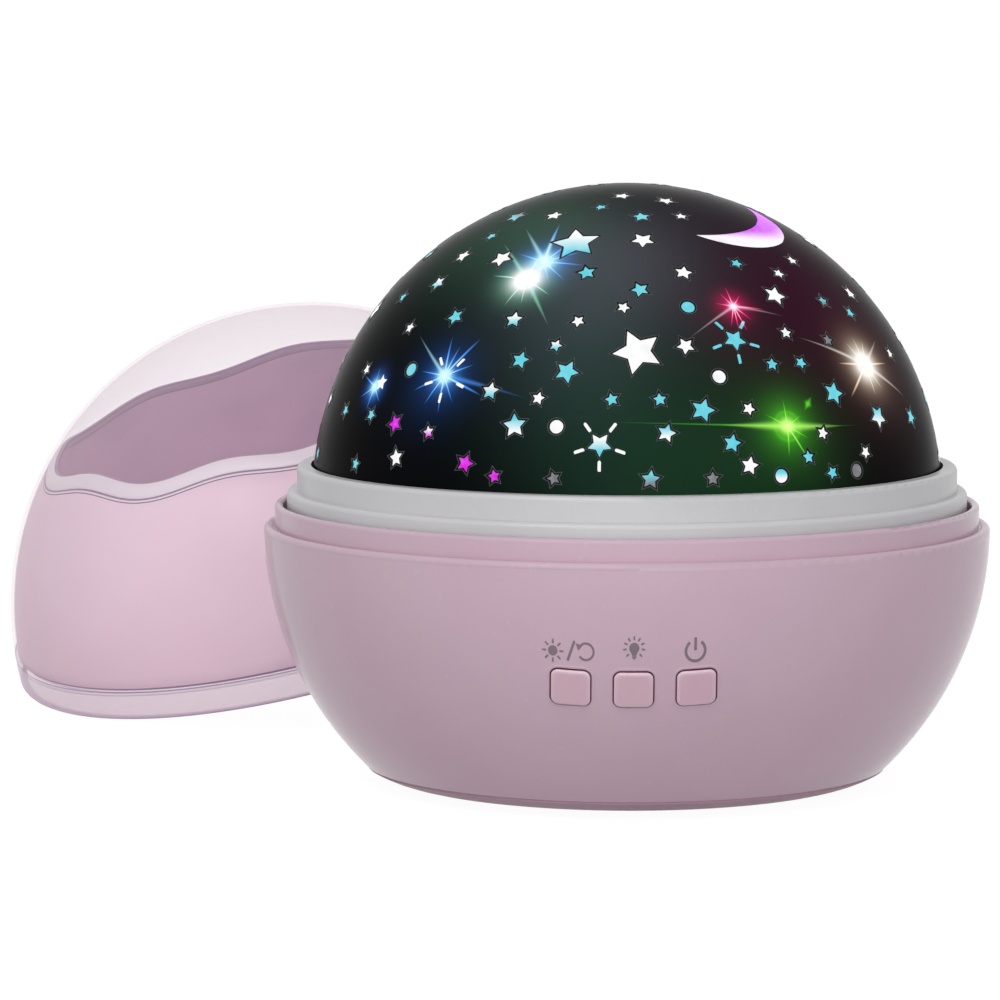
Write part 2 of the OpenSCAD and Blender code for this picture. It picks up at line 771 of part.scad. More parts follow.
// Square cap that follows the bowl's face, with a retaining flange and a stem down to the plunger
module button(i, tint) {
    x = button_x[i];
    flange_z = -wall - face_sag(abs(x) + button_w / 2 + flange_edge) - fit - flange_thick;
    stem_end = switch_h + plunger_up - switch_depth;
    color(tint) {
        intersection() {
            on_panel(x) translate([0, 0, flange_z]) linear_extrude(3 * wall - flange_z)
                rounded_rect(button_w, button_w, button_corner);
            rotate_extrude() intersection() {
                translate([arc_x, shoulder_z]) circle(r = bowl_arc_r + button_proud);
                translate([0, part_z]) square([body_r + 2, shoulder_z - part_z]);
            }
        }
        on_panel(x) translate([0, 0, flange_z]) linear_extrude(flange_thick)
            rounded_rect(button_w + 2 * flange_edge, button_w + 2 * flange_edge, button_corner);
        on_panel(x) translate([0, 0, stem_end]) cylinder(d = plunger_d, h = flange_z - stem_end + eps);
    }
}

// ---------------------------------------------------------------- power

module battery_cell(i) {
    x = (i - (cells - 1) / 2) * cell_pitch;
    flip = i % 2 == 0 ? 1 : -1;
    nub = 0.8;
    // the button end rests on its plate, the flat end on its spring
    color([0.55, 0.58, 0.60]) translate([x, flip * (bay_l / 2 - plate_t), cell_z]) rotate([flip * 90, 0, 0]) {
        translate([0, 0, nub]) cylinder(d = cell_d, h = cell_l - nub);
        cylinder(d = 3.8, h = nub + eps);
    }
}

module contact_springs() {
    wire_d = 0.6;
    turns = 4;
    per_turn = 10;
    color(steel) for (i = [0:cells - 1]) {
        x = (i - (cells - 1) / 2) * cell_pitch;
        flip = i % 2 == 0 ? 1 : -1;
        path = [for (k = [0:turns * per_turn])
            let (t = k / (turns * per_turn), a = 360 / per_turn * k, r = 3.8 - 1.8 * t)
                [r * cos(a), r * sin(a), wire_d / 2 + (spring_l - wire_d) * t]];
        translate([x, -flip * (bay_l / 2 - plate_t), cell_z]) rotate([-flip * 90, 0, 0])
            wire(path, wire_d, 6);
    }
}

module contact_plate(cell_from, cell_to, y_side) {
    x0 = (cell_from - (cells - 1) / 2) * cell_pitch - 4.2;
    x1 = (cell_to - (cells - 1) / 2) * cell_pitch + 4.2;
    y0 = y_side > 0 ? bay_l / 2 - plate_t : -bay_l / 2;
    translate([x0, y0, cell_z - 4.2]) cube([x1 - x0, plate_t, 8.4]);
}

module contact_plates() {
    color(steel) {
        contact_plate(0, 1, 1);
        contact_plate(2, 3, 1);
        contact_plate(0, 0, -1);
        contact_plate(1, 2, -1);
        contact_plate(3, 3, -1);
    }
}

module usb_shell() {
    color(steel) translate([0, usb_mouth - usb_l, usb_z]) rotate([-90, 0, 0]) difference() {
        linear_extrude(usb_l) rounded_rect(usb_w, usb_h, 0.5);
        translate([0, 0, 0.6]) linear_extrude(usb_l) rounded_rect(usb_w - 0.6, usb_h - 0.6, 0.3);
    }
}

module usb_tongue() {
    color([0.12, 0.12, 0.13]) translate([-2, usb_mouth - usb_l + 0.6, usb_z - 0.1]) cube([4, 4, 0.6]);
}

module gearbox() {
    color([0.86, 0.86, 0.84]) translate([pinion_x, 0, 0]) difference() {
        union() {
            translate([0, 0, gearbox_under]) cylinder(r = gearbox_r, h = gearbox_h);
            translate([0, 0, deck_under - eps]) cylinder(r = spindle_boss_r, h = spindle_boss_h);
            translate([0, 0, deck_under - ear_t]) linear_extrude(ear_t)
                rounded_rect(ear_w, 2 * ear_y + ear_w, ear_w / 2 - 0.1);
        }
        translate([0, 0, deck_under - 4]) cylinder(d = shaft_d + 2 * touch, h = 10);
        for (y = [-1, 1])
            translate([0, y * ear_y, deck_under - 5]) cylinder(d = screw_d + 0.4, h = 10);
    }
}

module motor_can() {
    color(steel) translate([pinion_x, 0, can_under]) rotate_extrude() {
        ring_2d(0, can_r, 0.8, can_h);
        ring_2d(0, can_r - 0.8, 0, 1);
    }
}

module motor_screws() {
    color(steel) for (y = [-1, 1])
        translate([pinion_x, y * ear_y, deck_under - ear_t]) mirror([0, 0, 1]) screw(ear_t + 2.6);
}

module led_lead() {
    plug = [lamp_socket[0], lamp_socket[1], board_top + socket_h + lead_gap];
    route = [[0, 0, post_top - 1.7], [0, 0, deck_z + 6], [1, 1, deck_z - 6], plug + [-4, -3, 11.6],
             plug + [0, 0, 4.6], plug];
    color([0.85, 0.85, 0.80]) wire(spline(route, 3), 2.2);
}

module motor_leads() {
    color([0.75, 0.20, 0.18]) for (s = [-1, 1])
        wire(spline([[pinion_x + can_r + lead_gap, s * 1.2, can_under + 6],
                     [pinion_x + can_r + 4, s * 1.2, can_under + 7],
                     [motor_socket[0] - 2, s * 1.2 - 2, board_top + 10],
                     [motor_socket[0] + s * 1.2, motor_socket[1], board_top + socket_h + lead_gap]], 4), lead_d);
}

module battery_leads() {
    color([0.20, 0.20, 0.22]) for (s = [-1, 1])
        wire(spline([[s * 1.5 * cell_pitch, -bay_l / 2 - lead_gap, bay_roof - 2.2],
                     [s * 1.5 * cell_pitch, -bay_l / 2 - 4, bay_roof - 1.8],
                     [s * 1.1 * cell_pitch, -bay_l / 2 - 4, board_top + 5],
                     [battery_socket[0] + s * 3, battery_socket[1] - 6, board_top + 11],
                     [battery_socket[0] + s * 1.2, battery_socket[1], board_top + socket_h + lead_gap]], 4), lead_d);
}

// ---------------------------------------------------------------- turning parts

module output_shaft() {
    color(steel) translate([pinion_x, 0, deck_under - 3.9]) cylinder(d = shaft_d, h = gear_top - deck_under + 3.8);
}

module pinion() {
    radii = [pinion_pitch_r - tooth_root, pinion_pitch_r * 0.95, pinion_pitch_r, pinion_pitch_r + tooth_tip];
    color([0.93, 0.92, 0.88]) translate([pinion_x, 0, turn_under + 0.2]) difference() {
        union() {
            linear_extrude(gear_top - turn_under - 0.4)
                polygon(gear_outline(pinion_teeth, pinion_pitch_r, radii, -gear_play));
            translate([0, 0, -0.8]) cylinder(r = pinion_pitch_r - tooth_root - 0.4, h = 1);
        }
        translate([0, 0, -2]) cylinder(d = shaft_d + 0.04, h = 8);
    }
}

module ring_profile() {
    ring_2d(gear_outer - gear_rim / 2, ring_r, turn_under, turn_floor);
    ring_2d(ring_r - ring_wall, ring_r, turn_under, ledge_z - ring_edge_r);
    ring_2d(ring_bore, ring_r - ring_edge_r, ledge_z - 1.6, ledge_z);
    translate([ring_r - ring_edge_r, ledge_z - ring_edge_r]) circle(r = ring_edge_r);
    ring_2d(ring_bore, tier_r, ledge_z - 1.6, ring_top - ring_edge_r);
    ring_2d(ring_bore, tier_r - ring_edge_r, ledge_z, ring_top);
    translate([tier_r - ring_edge_r, ring_top - ring_edge_r]) circle(r = ring_edge_r);
}

module turntable_ring() {
    spaces = [ring_pitch_r - tooth_tip - 0.5, ring_pitch_r, ring_pitch_r + tooth_root];
    color([0.80, 0.80, 0.80]) difference() {
        union() {
            rotate_extrude() ring_profile();
            translate([0, 0, turn_under]) difference() {
                cylinder(r = gear_outer, h = gear_top - turn_under);
                translate([0, 0, -1]) cylinder(r = ring_pitch_r - tooth_tip, h = 10);
                translate([0, 0, -1]) linear_extrude(10)
                    polygon(gear_outline(ring_teeth, ring_pitch_r, spaces, gear_play));
            }
        }
        around([0, 90, 180, 270], dome_screw_r, turn_under - 1) cylinder(d = screw_d + 0.4, h = 4);
    }
}

module dome_screws() {
    color(steel) around([0, 90, 180, 270], dome_screw_r, turn_under)
        mirror([0, 0, 1]) screw_short(turn_floor_t + 1.4);
}

module projection_dome() {
    color([0.92, 0.94, 0.96, 0.4]) difference() {
        union() {
            spherical_shell(dome_r, dome_in, dome_z, turn_floor);
            rotate_extrude() ring_2d(dome_in - flange_w, dome_in + 0.5, turn_floor, turn_floor + flange_t);
        }
        around([0, 90, 180, 270], dome_screw_r, turn_floor - eps) cylinder(d = pilot_d, h = 1.5);
    }
}

module window(points) {
    translate([0, 0, dome_r - 2]) linear_extrude(4) polygon(points);
}

module star_belts(belts, width) {
    for (belt = belts, az = belt[1])
        on_dome(az, belt[0]) rotate([0, 0, 7 * az + 5 * belt[0]]) window(star(width));
}

// Star stood on one point, with a short ray beyond each point
module shining_star(width) {
    rotate([0, 0, 36]) window(star(width));
    for (i = [0:star_rays - 1])
        rotate([0, 0, 36 + 360 / star_rays * i]) translate([0, 0, dome_r - 2])
            linear_extrude(4) {
                translate([-ray_w / 2, ray_in * width]) square([ray_w, (ray_out - ray_in) * width]);
            }
}

module crescent() {
    translate([0, 0, dome_r - 6]) linear_extrude(8) difference() {
        circle(r = moon_r);
        translate([-moon_shift, 0]) circle(r = moon_cut_r);
    }
}

module front_windows() {
    star_belts(small_belts, small_star);
    star_belts(medium_belts, medium_star);
    star_belts(large_belts, large_star);
    star_belts(giant_belts, giant_star);
    for (belt = ray_belts, az = belt[1])
        on_dome(az, belt[0]) shining_star(large_star);
    for (belt = dot_belts, az = belt[1])
        on_dome(az, belt[0]) translate([0, 0, dome_r - 2]) cylinder(d = dot_d, h = 4);
    on_dome(moon_az, moon_el) rotate([0, 0, moon_turn]) crescent();
}

// The back half repeats the front half's windows
module star_mask() {
    color([0.07, 0.07, 0.09]) difference() {
        spherical_shell(mask_r, mask_r - mask_t, dome_z, turn_floor);
        front_windows();
        rotate([0, 0, 180]) front_windows();
    }
}

// ---------------------------------------------------------------- cover

module on_cover() {
    translate([cover_x, cover_y, cover_z]) rotate([0, 0, cover_az]) rotate([0, cover_tilt, 0]) children();
}

module cover_shell() {
    color([0.93, 0.90, 0.92, 0.4]) on_cover() difference() {
        union() {
            rotate_extrude() intersection() {
                circle(r = cover_r);
                translate([0, rim_round]) square([cover_r + 1, cover_r + 1]);
            }
            rotate_extrude() translate([rim_mid, rim_round]) circle(r = rim_round);
        }
        rotate_extrude() {
            intersection() {
                circle(r = cover_r - skin_t);
                translate([0, rim_band]) square(cover_r);
            }
            ring_2d(0, rim_mid, -rim_round, rim_round);
            intersection() {
                circle(r = cover_in);
                translate([0, rim_round - eps]) square([cover_r, rim_band]);
            }
        }
    }
}

// Liner: a dome-shaped sleeve whose top edge waves
module cover_liner() {
    edge = [for (i = [0:wave_steps - 1])
        let (a = 360 / wave_steps * i) [a, wave_h + wave_amp * cos(waves * (a - 80 + cover_az))]];
    color([0.80, 0.62, 0.72, 0.6]) on_cover() difference() {
        rotate_extrude() intersection() {
            difference() {
                circle(r = liner_r);
                circle(r = liner_in);
            }
            translate([0, rim_band + touch]) square([cover_r, wave_h + wave_amp + 1 - rim_band]);
        }
        wave_cutter(edge);
    }
}

// Ring-shaped cutter above the wavy line, which it follows from the inside to the outside of the liner
module wave_cutter(edge) {
    n = len(edge);
    top = wave_h + wave_amp + 3;
    function corner(e, r, z) = [r * cos(e[0]), r * sin(e[0]), z];
    points = [for (e = edge) each [
        corner(e, liner_in / 3, e[1]), corner(e, cover_r, e[1]),
        corner(e, cover_r, top), corner(e, liner_in / 3, top)]];
    faces = [for (i = [0:n - 1], k = [0:3])
        let (a = 4 * i, b = 4 * ((i + 1) % n), l = (k + 1) % 4) each [[a + k, b + k, b + l], [a + k, b + l, a + l]]];
    polyhedron(points = points, faces = [for (f = faces) [f[2], f[1], f[0]]]);
}

base_shell();
bottom_cover();
deck_plate();
battery_door();
door_screws();
case_screws();
for (i = [0:3]) foot(i);
for (i = [0:3]) battery_cell(i);
contact_springs();
contact_plates();
deck_screws();
turntable_clips();
clip_screws();
led_post();
post_screws();
led_board();
led(0, [1.0, 0.93, 0.75]);  // led_warm
led(90, [0.95, 0.35, 0.40]);  // led_red
led(180, [0.45, 0.90, 0.45]);  // led_green
led(270, [0.45, 0.60, 0.98]);  // led_blue
main_board();
control_chip();
capacitor();
lead_sockets();
board_screws();
switch_board();
for (i = [0:2]) push_switch(i);
usb_shell();
usb_tongue();
gearbox();
motor_can();
motor_screws();
led_lead();
motor_leads();
battery_leads();
output_shaft();
pinion();
turntable_ring();
dome_screws();
projection_dome();
star_mask();
button(0, [0.80, 0.66, 0.73]);  // button_turn
button(1, [0.80, 0.66, 0.73]);  // button_light
button(2, [0.80, 0.66, 0.73]);  // button_power
for (i = [0:2]) plunger(i);
cover_shell();
cover_liner();
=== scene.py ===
"""Star night light projector: its finishes, lit windows, buttons, printed symbols and studio."""
import math

import bmesh
import bpy
from mathutils import Matrix, Vector


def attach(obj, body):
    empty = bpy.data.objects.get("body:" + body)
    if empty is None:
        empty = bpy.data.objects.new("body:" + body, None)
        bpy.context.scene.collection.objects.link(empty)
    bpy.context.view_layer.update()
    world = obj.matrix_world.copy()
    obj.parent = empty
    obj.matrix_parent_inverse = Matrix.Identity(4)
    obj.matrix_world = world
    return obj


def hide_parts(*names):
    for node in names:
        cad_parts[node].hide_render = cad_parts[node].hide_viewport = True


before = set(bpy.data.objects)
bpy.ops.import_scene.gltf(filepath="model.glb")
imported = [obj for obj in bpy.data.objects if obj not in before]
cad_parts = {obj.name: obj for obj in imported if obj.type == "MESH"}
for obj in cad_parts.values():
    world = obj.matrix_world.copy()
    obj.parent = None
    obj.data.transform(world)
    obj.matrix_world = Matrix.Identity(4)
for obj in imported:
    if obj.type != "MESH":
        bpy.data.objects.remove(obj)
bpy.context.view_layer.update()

# Lengths of the lamp's pieces are in millimetres until a mesh is made; the camera, floor and softboxes are
# placed in metres.
MM = 0.001

# Bowl
BODY_R = 65.0
BOWL_ARC_R = 59.8
BOWL_ARC_X = BODY_R - BOWL_ARC_R
SHOULDER_Z = 46.2
WALL = 2.2

# Dome
DOME_Z = 51.0
MASK_R = 56.4
MASK_T = 0.8
WINDOW_SUNK = 0.05

# Button row
PANEL_DROP = math.radians(21)
BUTTON_W = 6.6
BUTTON_PITCH = 10.6
BUTTON_PLAY = 0.25
BUTTON_CORNER = 1.2
BUTTON_PROUD = 0.5
FLANGE_EDGE = 1.0
FLANGE_T = 1.0
STEM_END = -8.4
STEM_R = 1.7

# Cover, in its own frame: z up its axis from the rim's plane
COVER_PLACE = (Matrix.Translation((-61.007, 114.4, 17.606)) @ Matrix.Rotation(math.radians(-143.7), 4, "Z")
               @ Matrix.Rotation(math.radians(17), 4, "Y"))
COVER_R = 60.9
RIM_BAND = 5.7
LINER_R = 60.2
LINER_IN = 59.3
WAVE_H = 42.9
WAVE_AMP = 0.85
WAVES = 8
WAVE_START = 0.5
WAVE_LEAN = 0.9
LEAN_TURN = 121
EDGE_BAND = 2.1
COVER_SKIN = 0.65
RIM_ROUND = 0.8


def srgb(red, green, blue):
    """Linear colour of a paint chip given as 0 to 255."""
    chip = []
    for value in (red, green, blue):
        v = value / 255
        chip.append(v / 12.92 if v <= 0.04045 else ((v + 0.055) / 1.055) ** 2.4)
    return (*chip, 1.0)


# ---------------------------------------------------------------- camera

def set_camera():
    data = bpy.data.cameras.new("studio_camera")
    data.lens = 184.68
    data.sensor_width = 36
    data.clip_start = 0.01
    data.clip_end = 200
    camera = bpy.data.objects.new("studio_camera", data)
    bpy.context.scene.collection.objects.link(camera)
    camera.location = (-0.0192, -0.9161, 0.1460)
    camera.rotation_euler = (math.radians(84.05), 0, math.radians(0.219))
    bpy.context.scene.camera = camera


set_camera()


# ---------------------------------------------------------------- shader helpers

def put(tree, kind, inputs=None, **settings):
    """Adds a node; inputs are values or the sockets that feed them."""
    node = tree.nodes.new(kind)
    for name, value in settings.items():
        setattr(node, name, value)
    for key, value in (inputs or {}).items():
        if isinstance(value, bpy.types.NodeSocket):
            tree.links.new(value, node.inputs[key])
        else:
            node.inputs[key].default_value = value
    return node


def calc(tree, operation, *values, clamp=False):
    node = put(tree, "ShaderNodeMath", dict(enumerate(values)), operation=operation, use_clamp=clamp)
    return node.outputs[0]


def vector_calc(tree, operation, *values):
    node = put(tree, "ShaderNodeVectorMath", dict(enumerate(values)), operation=operation)
    return node.outputs["Value" if operation in ("DOT_PRODUCT", "LENGTH") else "Vector"]


def mix_colour(tree, factor, first, second, mode="MIX"):
    node = put(tree, "ShaderNodeMix", {0: factor, 6: first, 7: second}, data_type="RGBA", blend_type=mode)
    return node.outputs[2]


def fade(tree, value, low, high, to_low=0.0, to_high=1.0):
    """Smooth change from to_low to to_high as value goes from low to high."""
    node = put(tree, "ShaderNodeMapRange", {0: value, 1: low, 2: high, 3: to_low, 4: to_high},
               interpolation_type="SMOOTHSTEP")
    return node.outputs[0]


def noise(tree, place, scale, detail=2.0, roughness=0.5):
    node = put(tree, "ShaderNodeTexNoise",
               {"Vector": place, "Scale": scale, "Detail": detail, "Roughness": roughness})
    return node.outputs["Fac"]


def ramp(tree, value, stops):
    """Colour that follows value through stops of (position, colour), in rising order."""
    node = put(tree, "ShaderNodeValToRGB", {0: value})
    elements = node.color_ramp.elements
    elements.remove(elements[1])
    elements[0].position, elements[0].color = stops[0]
    for position, colour in stops[1:]:
        elements.new(position).color = colour
    return node.outputs["Color"]


def start_group(name, takes, gives):
    """A shader group with named sockets: takes is (name, kind, value), gives is (name, kind)."""
    kinds = {"colour": "NodeSocketColor", "value": "NodeSocketFloat", "vector": "NodeSocketVector"}
    group = bpy.data.node_groups.new(name, "ShaderNodeTree")
    for label, kind, value in takes:
        socket = group.interface.new_socket(label, in_out="INPUT", socket_type=kinds[kind])
        socket.default_value = value
    for label, kind in gives:
        group.interface.new_socket(label, in_out="OUTPUT", socket_type=kinds[kind])
    entry = group.nodes.new("NodeGroupInput")
    result = group.nodes.new("NodeGroupOutput")
    return group, entry.outputs, result.inputs


def object_place(tree):
    return put(tree, "ShaderNodeTexCoord").outputs["Object"]


def use_group(tree, group, inputs):
    return put(tree, "ShaderNodeGroup", inputs, node_tree=group).outputs


def feed_shader(tree, effect, shader, labels=("Colour", "Roughness", "Normal")):
    """Links an effect's outputs to the shader's inputs."""
    for label in labels:
        tree.links.new(effect[label], shader.inputs["Base Color" if label == "Colour" else label])


def rays_that_see_white(tree):
    """1 for the rays that meet a plain white studio: camera, glossy and transmission rays."""
    path = put(tree, "ShaderNodeLightPath").outputs
    return calc(tree, "MAXIMUM", path["Is Camera Ray"],
                calc(tree, "MAXIMUM", path["Is Glossy Ray"], path["Is Transmission Ray"]))


def square(tree, value):
    return calc(tree, "MULTIPLY", value, value)


# ---------------------------------------------------------------- shared effects

def make_moulded_skin():
    """Satin moulded plastic: cloudy colour, fine spark-eroded grain and an uneven sheen."""
    group, given, out = start_group(
        "moulded_skin",
        [("Colour", "colour", (0.8, 0.8, 0.8, 1)), ("Deep Colour", "colour", (0.6, 0.6, 0.6, 1)),
         ("Clouding", "value", 0.4), ("Cloud Scale", "value", 45.0), ("Grain Scale", "value", 2600.0),
         ("Grain Depth", "value", 0.3), ("Roughness", "value", 0.4), ("Sheen Change", "value", 0.08),
         ("Specks", "value", 0.06)],
        [("Colour", "colour"), ("Roughness", "value"), ("Normal", "vector")])
    place = object_place(group)
    cloud = noise(group, place, given["Cloud Scale"], 3.0)
    speck = noise(group, place, 900.0, 2.0)
    cloud_mask = calc(group, "MULTIPLY", fade(group, cloud, 0.35, 0.68), given["Clouding"])
    speck_mask = calc(group, "MULTIPLY", fade(group, speck, 0.62, 0.8), given["Specks"])
    cloudy = mix_colour(group, cloud_mask, given["Colour"], given["Deep Colour"])
    group.links.new(mix_colour(group, speck_mask, cloudy, (1, 1, 1, 1)), out["Colour"])
    grain = noise(group, place, given["Grain Scale"], 2.0, 0.6)
    swing = calc(group, "MULTIPLY", calc(group, "SUBTRACT", grain, 0.5), given["Sheen Change"])
    drift = calc(group, "MULTIPLY", calc(group, "SUBTRACT", cloud, 0.5), given["Sheen Change"])
    roughness = calc(group, "ADD", given["Roughness"], calc(group, "ADD", swing, drift), clamp=True)
    group.links.new(roughness, out["Roughness"])
    bump = put(group, "ShaderNodeBump",
               {"Strength": given["Grain Depth"], "Distance": 0.00004, "Height": grain})
    group.links.new(bump.outputs["Normal"], out["Normal"])
    return group


def make_worked_metal():
    """Plated steel: fine turning lines, dull patches and small bright scratches."""
    group, given, out = start_group(
        "worked_metal",
        [("Colour", "colour", (0.7, 0.7, 0.7, 1)), ("Tarnish", "colour", (0.4, 0.38, 0.34, 1)),
         ("Line Scale", "value", 900.0), ("Roughness", "value", 0.3)],
        [("Colour", "colour"), ("Roughness", "value"), ("Normal", "vector")])
    place = object_place(group)
    stretched = vector_calc(group, "MULTIPLY", place, (1.0, 1.0, 8.0))
    lines = noise(group, stretched, given["Line Scale"], 3.0)
    patches = noise(group, place, 160.0, 4.0)
    tarnish = fade(group, patches, 0.5, 0.8, 0.0, 0.6)
    group.links.new(mix_colour(group, tarnish, given["Colour"], given["Tarnish"]), out["Colour"])
    spread = calc(group, "MULTIPLY_ADD", lines, 0.25, given["Roughness"])
    group.links.new(calc(group, "MULTIPLY_ADD", tarnish, 0.2, spread, clamp=True), out["Roughness"])
    bump = put(group, "ShaderNodeBump", {"Strength": 0.25, "Distance": 0.00003, "Height": lines})
    group.links.new(bump.outputs["Normal"], out["Normal"])
    return group


def make_dome_direction():
    """Unit direction of a point from the middle of the dome."""
    group, _, out = start_group("dome_direction", [], [("Direction", "vector")])
    from_middle = vector_calc(group, "SUBTRACT", object_place(group), (0, 0, DOME_Z * MM))
    group.links.new(vector_calc(group, "NORMALIZE", from_middle), out["Direction"])
    return group


def make_soft_light():
    """Round patch of light on the dome, fading over its spread in degrees; a hollow one is a ring."""
    group, given, out = start_group(
        "soft_light",
        [("Direction", "vector", (0, 0, 1)), ("Middle", "vector", (0, 0, 1)),
         ("Spread", "value", 20.0), ("Hollow", "value", 0.0), ("Strength", "value", 1.0)],
        [("Amount", "value")])
    lean = vector_calc(group, "DOT_PRODUCT", given["Direction"], given["Middle"])
    away = calc(group, "MULTIPLY", calc(group, "ARCCOSINE", lean), 180 / math.pi)
    share = calc(group, "DIVIDE", calc(group, "SUBTRACT", away, given["Hollow"]), given["Spread"])
    bell = calc(group, "EXPONENT", calc(group, "MULTIPLY", square(group, share), -1.0))
    amount = calc(group, "MINIMUM", calc(group, "MULTIPLY", bell, given["Strength"]), 1.0)
    group.links.new(amount, out["Amount"])
    return group


def make_light_ray():
    """Tapering ray of a lamp's glint, from Middle along Along; Side is square to it, and Bend curves it."""
    group, given, out = start_group(
        "light_ray",
        [("Direction", "vector", (0, 0, 1)), ("Middle", "vector", (0, 0, 1)), ("Along", "vector", (1, 0, 0)),
         ("Side", "vector", (0, 1, 0)), ("Length", "value", 4.0), ("Width", "value", 0.3),
         ("Bend", "value", 0.0), ("Strength", "value", 1.0)],
        [("Amount", "value")])
    along, side = (
        calc(group, "MULTIPLY", vector_calc(group, "DOT_PRODUCT", given["Direction"], given[axis]), MASK_R)
        for axis in ("Along", "Side"))
    facing = vector_calc(group, "DOT_PRODUCT", given["Direction"], given["Middle"])
    left = calc(group, "SUBTRACT", 1.0, calc(group, "DIVIDE", along, given["Length"]))
    taper = calc(group, "MAXIMUM", left, 0.0)
    ahead = calc(group, "GREATER_THAN", along, 0.0)
    half = calc(group, "MULTIPLY_ADD", given["Width"], taper, 0.02)
    curve = calc(group, "MULTIPLY", square(group, along), given["Bend"])
    off = calc(group, "DIVIDE", calc(group, "SUBTRACT", side, curve), half)
    bell = calc(group, "EXPONENT", calc(group, "MULTIPLY", square(group, off), -1.0))
    seen = calc(group, "MULTIPLY", ahead, calc(group, "GREATER_THAN", facing, 0.0))
    body = calc(group, "MULTIPLY", calc(group, "MULTIPLY", taper, bell), seen)
    amount = calc(group, "MINIMUM", calc(group, "MULTIPLY", body, given["Strength"]), 1.0)
    group.links.new(amount, out["Amount"])
    return group


def make_glint_place():
    """Place of a point as seen from a glint's middle: mm off, and direction as a share of a turn."""
    group, given, out = start_group(
        "glint_place",
        [("Direction", "vector", (0, 0, 1)), ("Middle", "vector", (0, 0, 1)), ("Right", "vector", (1, 0, 0)),
         ("Up", "vector", (0, 1, 0))],
        [("Away", "value"), ("Turn", "value")])
    x = vector_calc(group, "DOT_PRODUCT", given["Direction"], given["Right"])
    y = vector_calc(group, "DOT_PRODUCT", given["Direction"], given["Up"])
    facing = vector_calc(group, "DOT_PRODUCT", given["Direction"], given["Middle"])
    behind = calc(group, "LESS_THAN", facing, 0.0)
    off_squared = calc(group, "ADD", square(group, x), square(group, y))
    off = calc(group, "ADD", calc(group, "SQRT", off_squared), behind)
    group.links.new(calc(group, "MULTIPLY", off, MASK_R), out["Away"])
    turn = calc(group, "MULTIPLY_ADD", calc(group, "ARCTAN2", y, x), 0.5 / math.pi, 0.5)
    group.links.new(turn, out["Turn"])
    return group


def make_rim_marks():
    """Where a clear rim is thick, and the thin dark lines at its lower edge and round the top of the band."""
    group, _, out = start_group("cover_rim_marks", [], [("Rim", "value"), ("Line", "value")])
    axis = COVER_PLACE.to_3x3() @ Vector((0, 0, 1))
    from_middle = vector_calc(group, "SUBTRACT", object_place(group), COVER_PLACE.translation * MM)
    height = calc(group, "DIVIDE", vector_calc(group, "DOT_PRODUCT", from_middle, axis), MM)
    group.links.new(fade(group, height, RIM_BAND - 0.2, RIM_BAND + 0.1, 1.0, 0.0), out["Rim"])
    line = fade(group, height, 0.2, 0.7, 0.8, 0.0)
    for level, half, strength in ((RIM_BAND, 0.16, 1.0), (RIM_BAND - 0.62, 0.13, 0.6)):
        off = calc(group, "ABSOLUTE", calc(group, "SUBTRACT", height, level))
        line = calc(group, "MAXIMUM", line, fade(group, off, half * 0.5, half * 1.5, strength, 0.0))
    group.links.new(line, out["Line"])
    return group


MOULDED_SKIN = make_moulded_skin()
WORKED_METAL = make_worked_metal()
DOME_DIRECTION = make_dome_direction()
SOFT_LIGHT = make_soft_light()
LIGHT_RAY = make_light_ray()
GLINT_PLACE = make_glint_place()
RIM_MARKS = make_rim_marks()


# ---------------------------------------------------------------- finishes

def new_finish(name):
    """An empty material and its shader."""
    material = bpy.data.materials.new(name)
    material.use_nodes = True
    tree = material.node_tree
    shader = tree.nodes["Principled BSDF"]
    return material, tree, shader


def satin(name, colour, deep, clouding=0.35, roughness=0.42, grain=0.3, grain_scale=2600.0, specular=0.5,
          emission=None, coat=0.0, cloud_scale=45.0):
    material, tree, shader = new_finish(name)
    skin = use_group(tree, MOULDED_SKIN, {
        "Colour": colour, "Deep Colour": deep, "Clouding": clouding, "Roughness": roughness,
        "Cloud Scale": cloud_scale, "Grain Depth": grain, "Grain Scale": grain_scale})
    feed_shader(tree, skin, shader)
    shader.inputs["Specular IOR Level"].default_value = specular
    shader.inputs["Coat Weight"].default_value = coat
    shader.inputs["Coat Roughness"].default_value = 0.08
    shader.inputs["Coat IOR"].default_value = 1.18
    if emission:
        tree.links.new(skin["Colour"], shader.inputs["Emission Color"])
        shader.inputs["Emission Strength"].default_value = emission
    return material


def metal(name, colour, tarnish, roughness=0.28):
    material, tree, shader = new_finish(name)
    worked = use_group(tree, WORKED_METAL, {"Colour": colour, "Tarnish": tarnish, "Roughness": roughness})
    feed_shader(tree, worked, shader)
    shader.inputs["Metallic"].default_value = 1.0
    return material


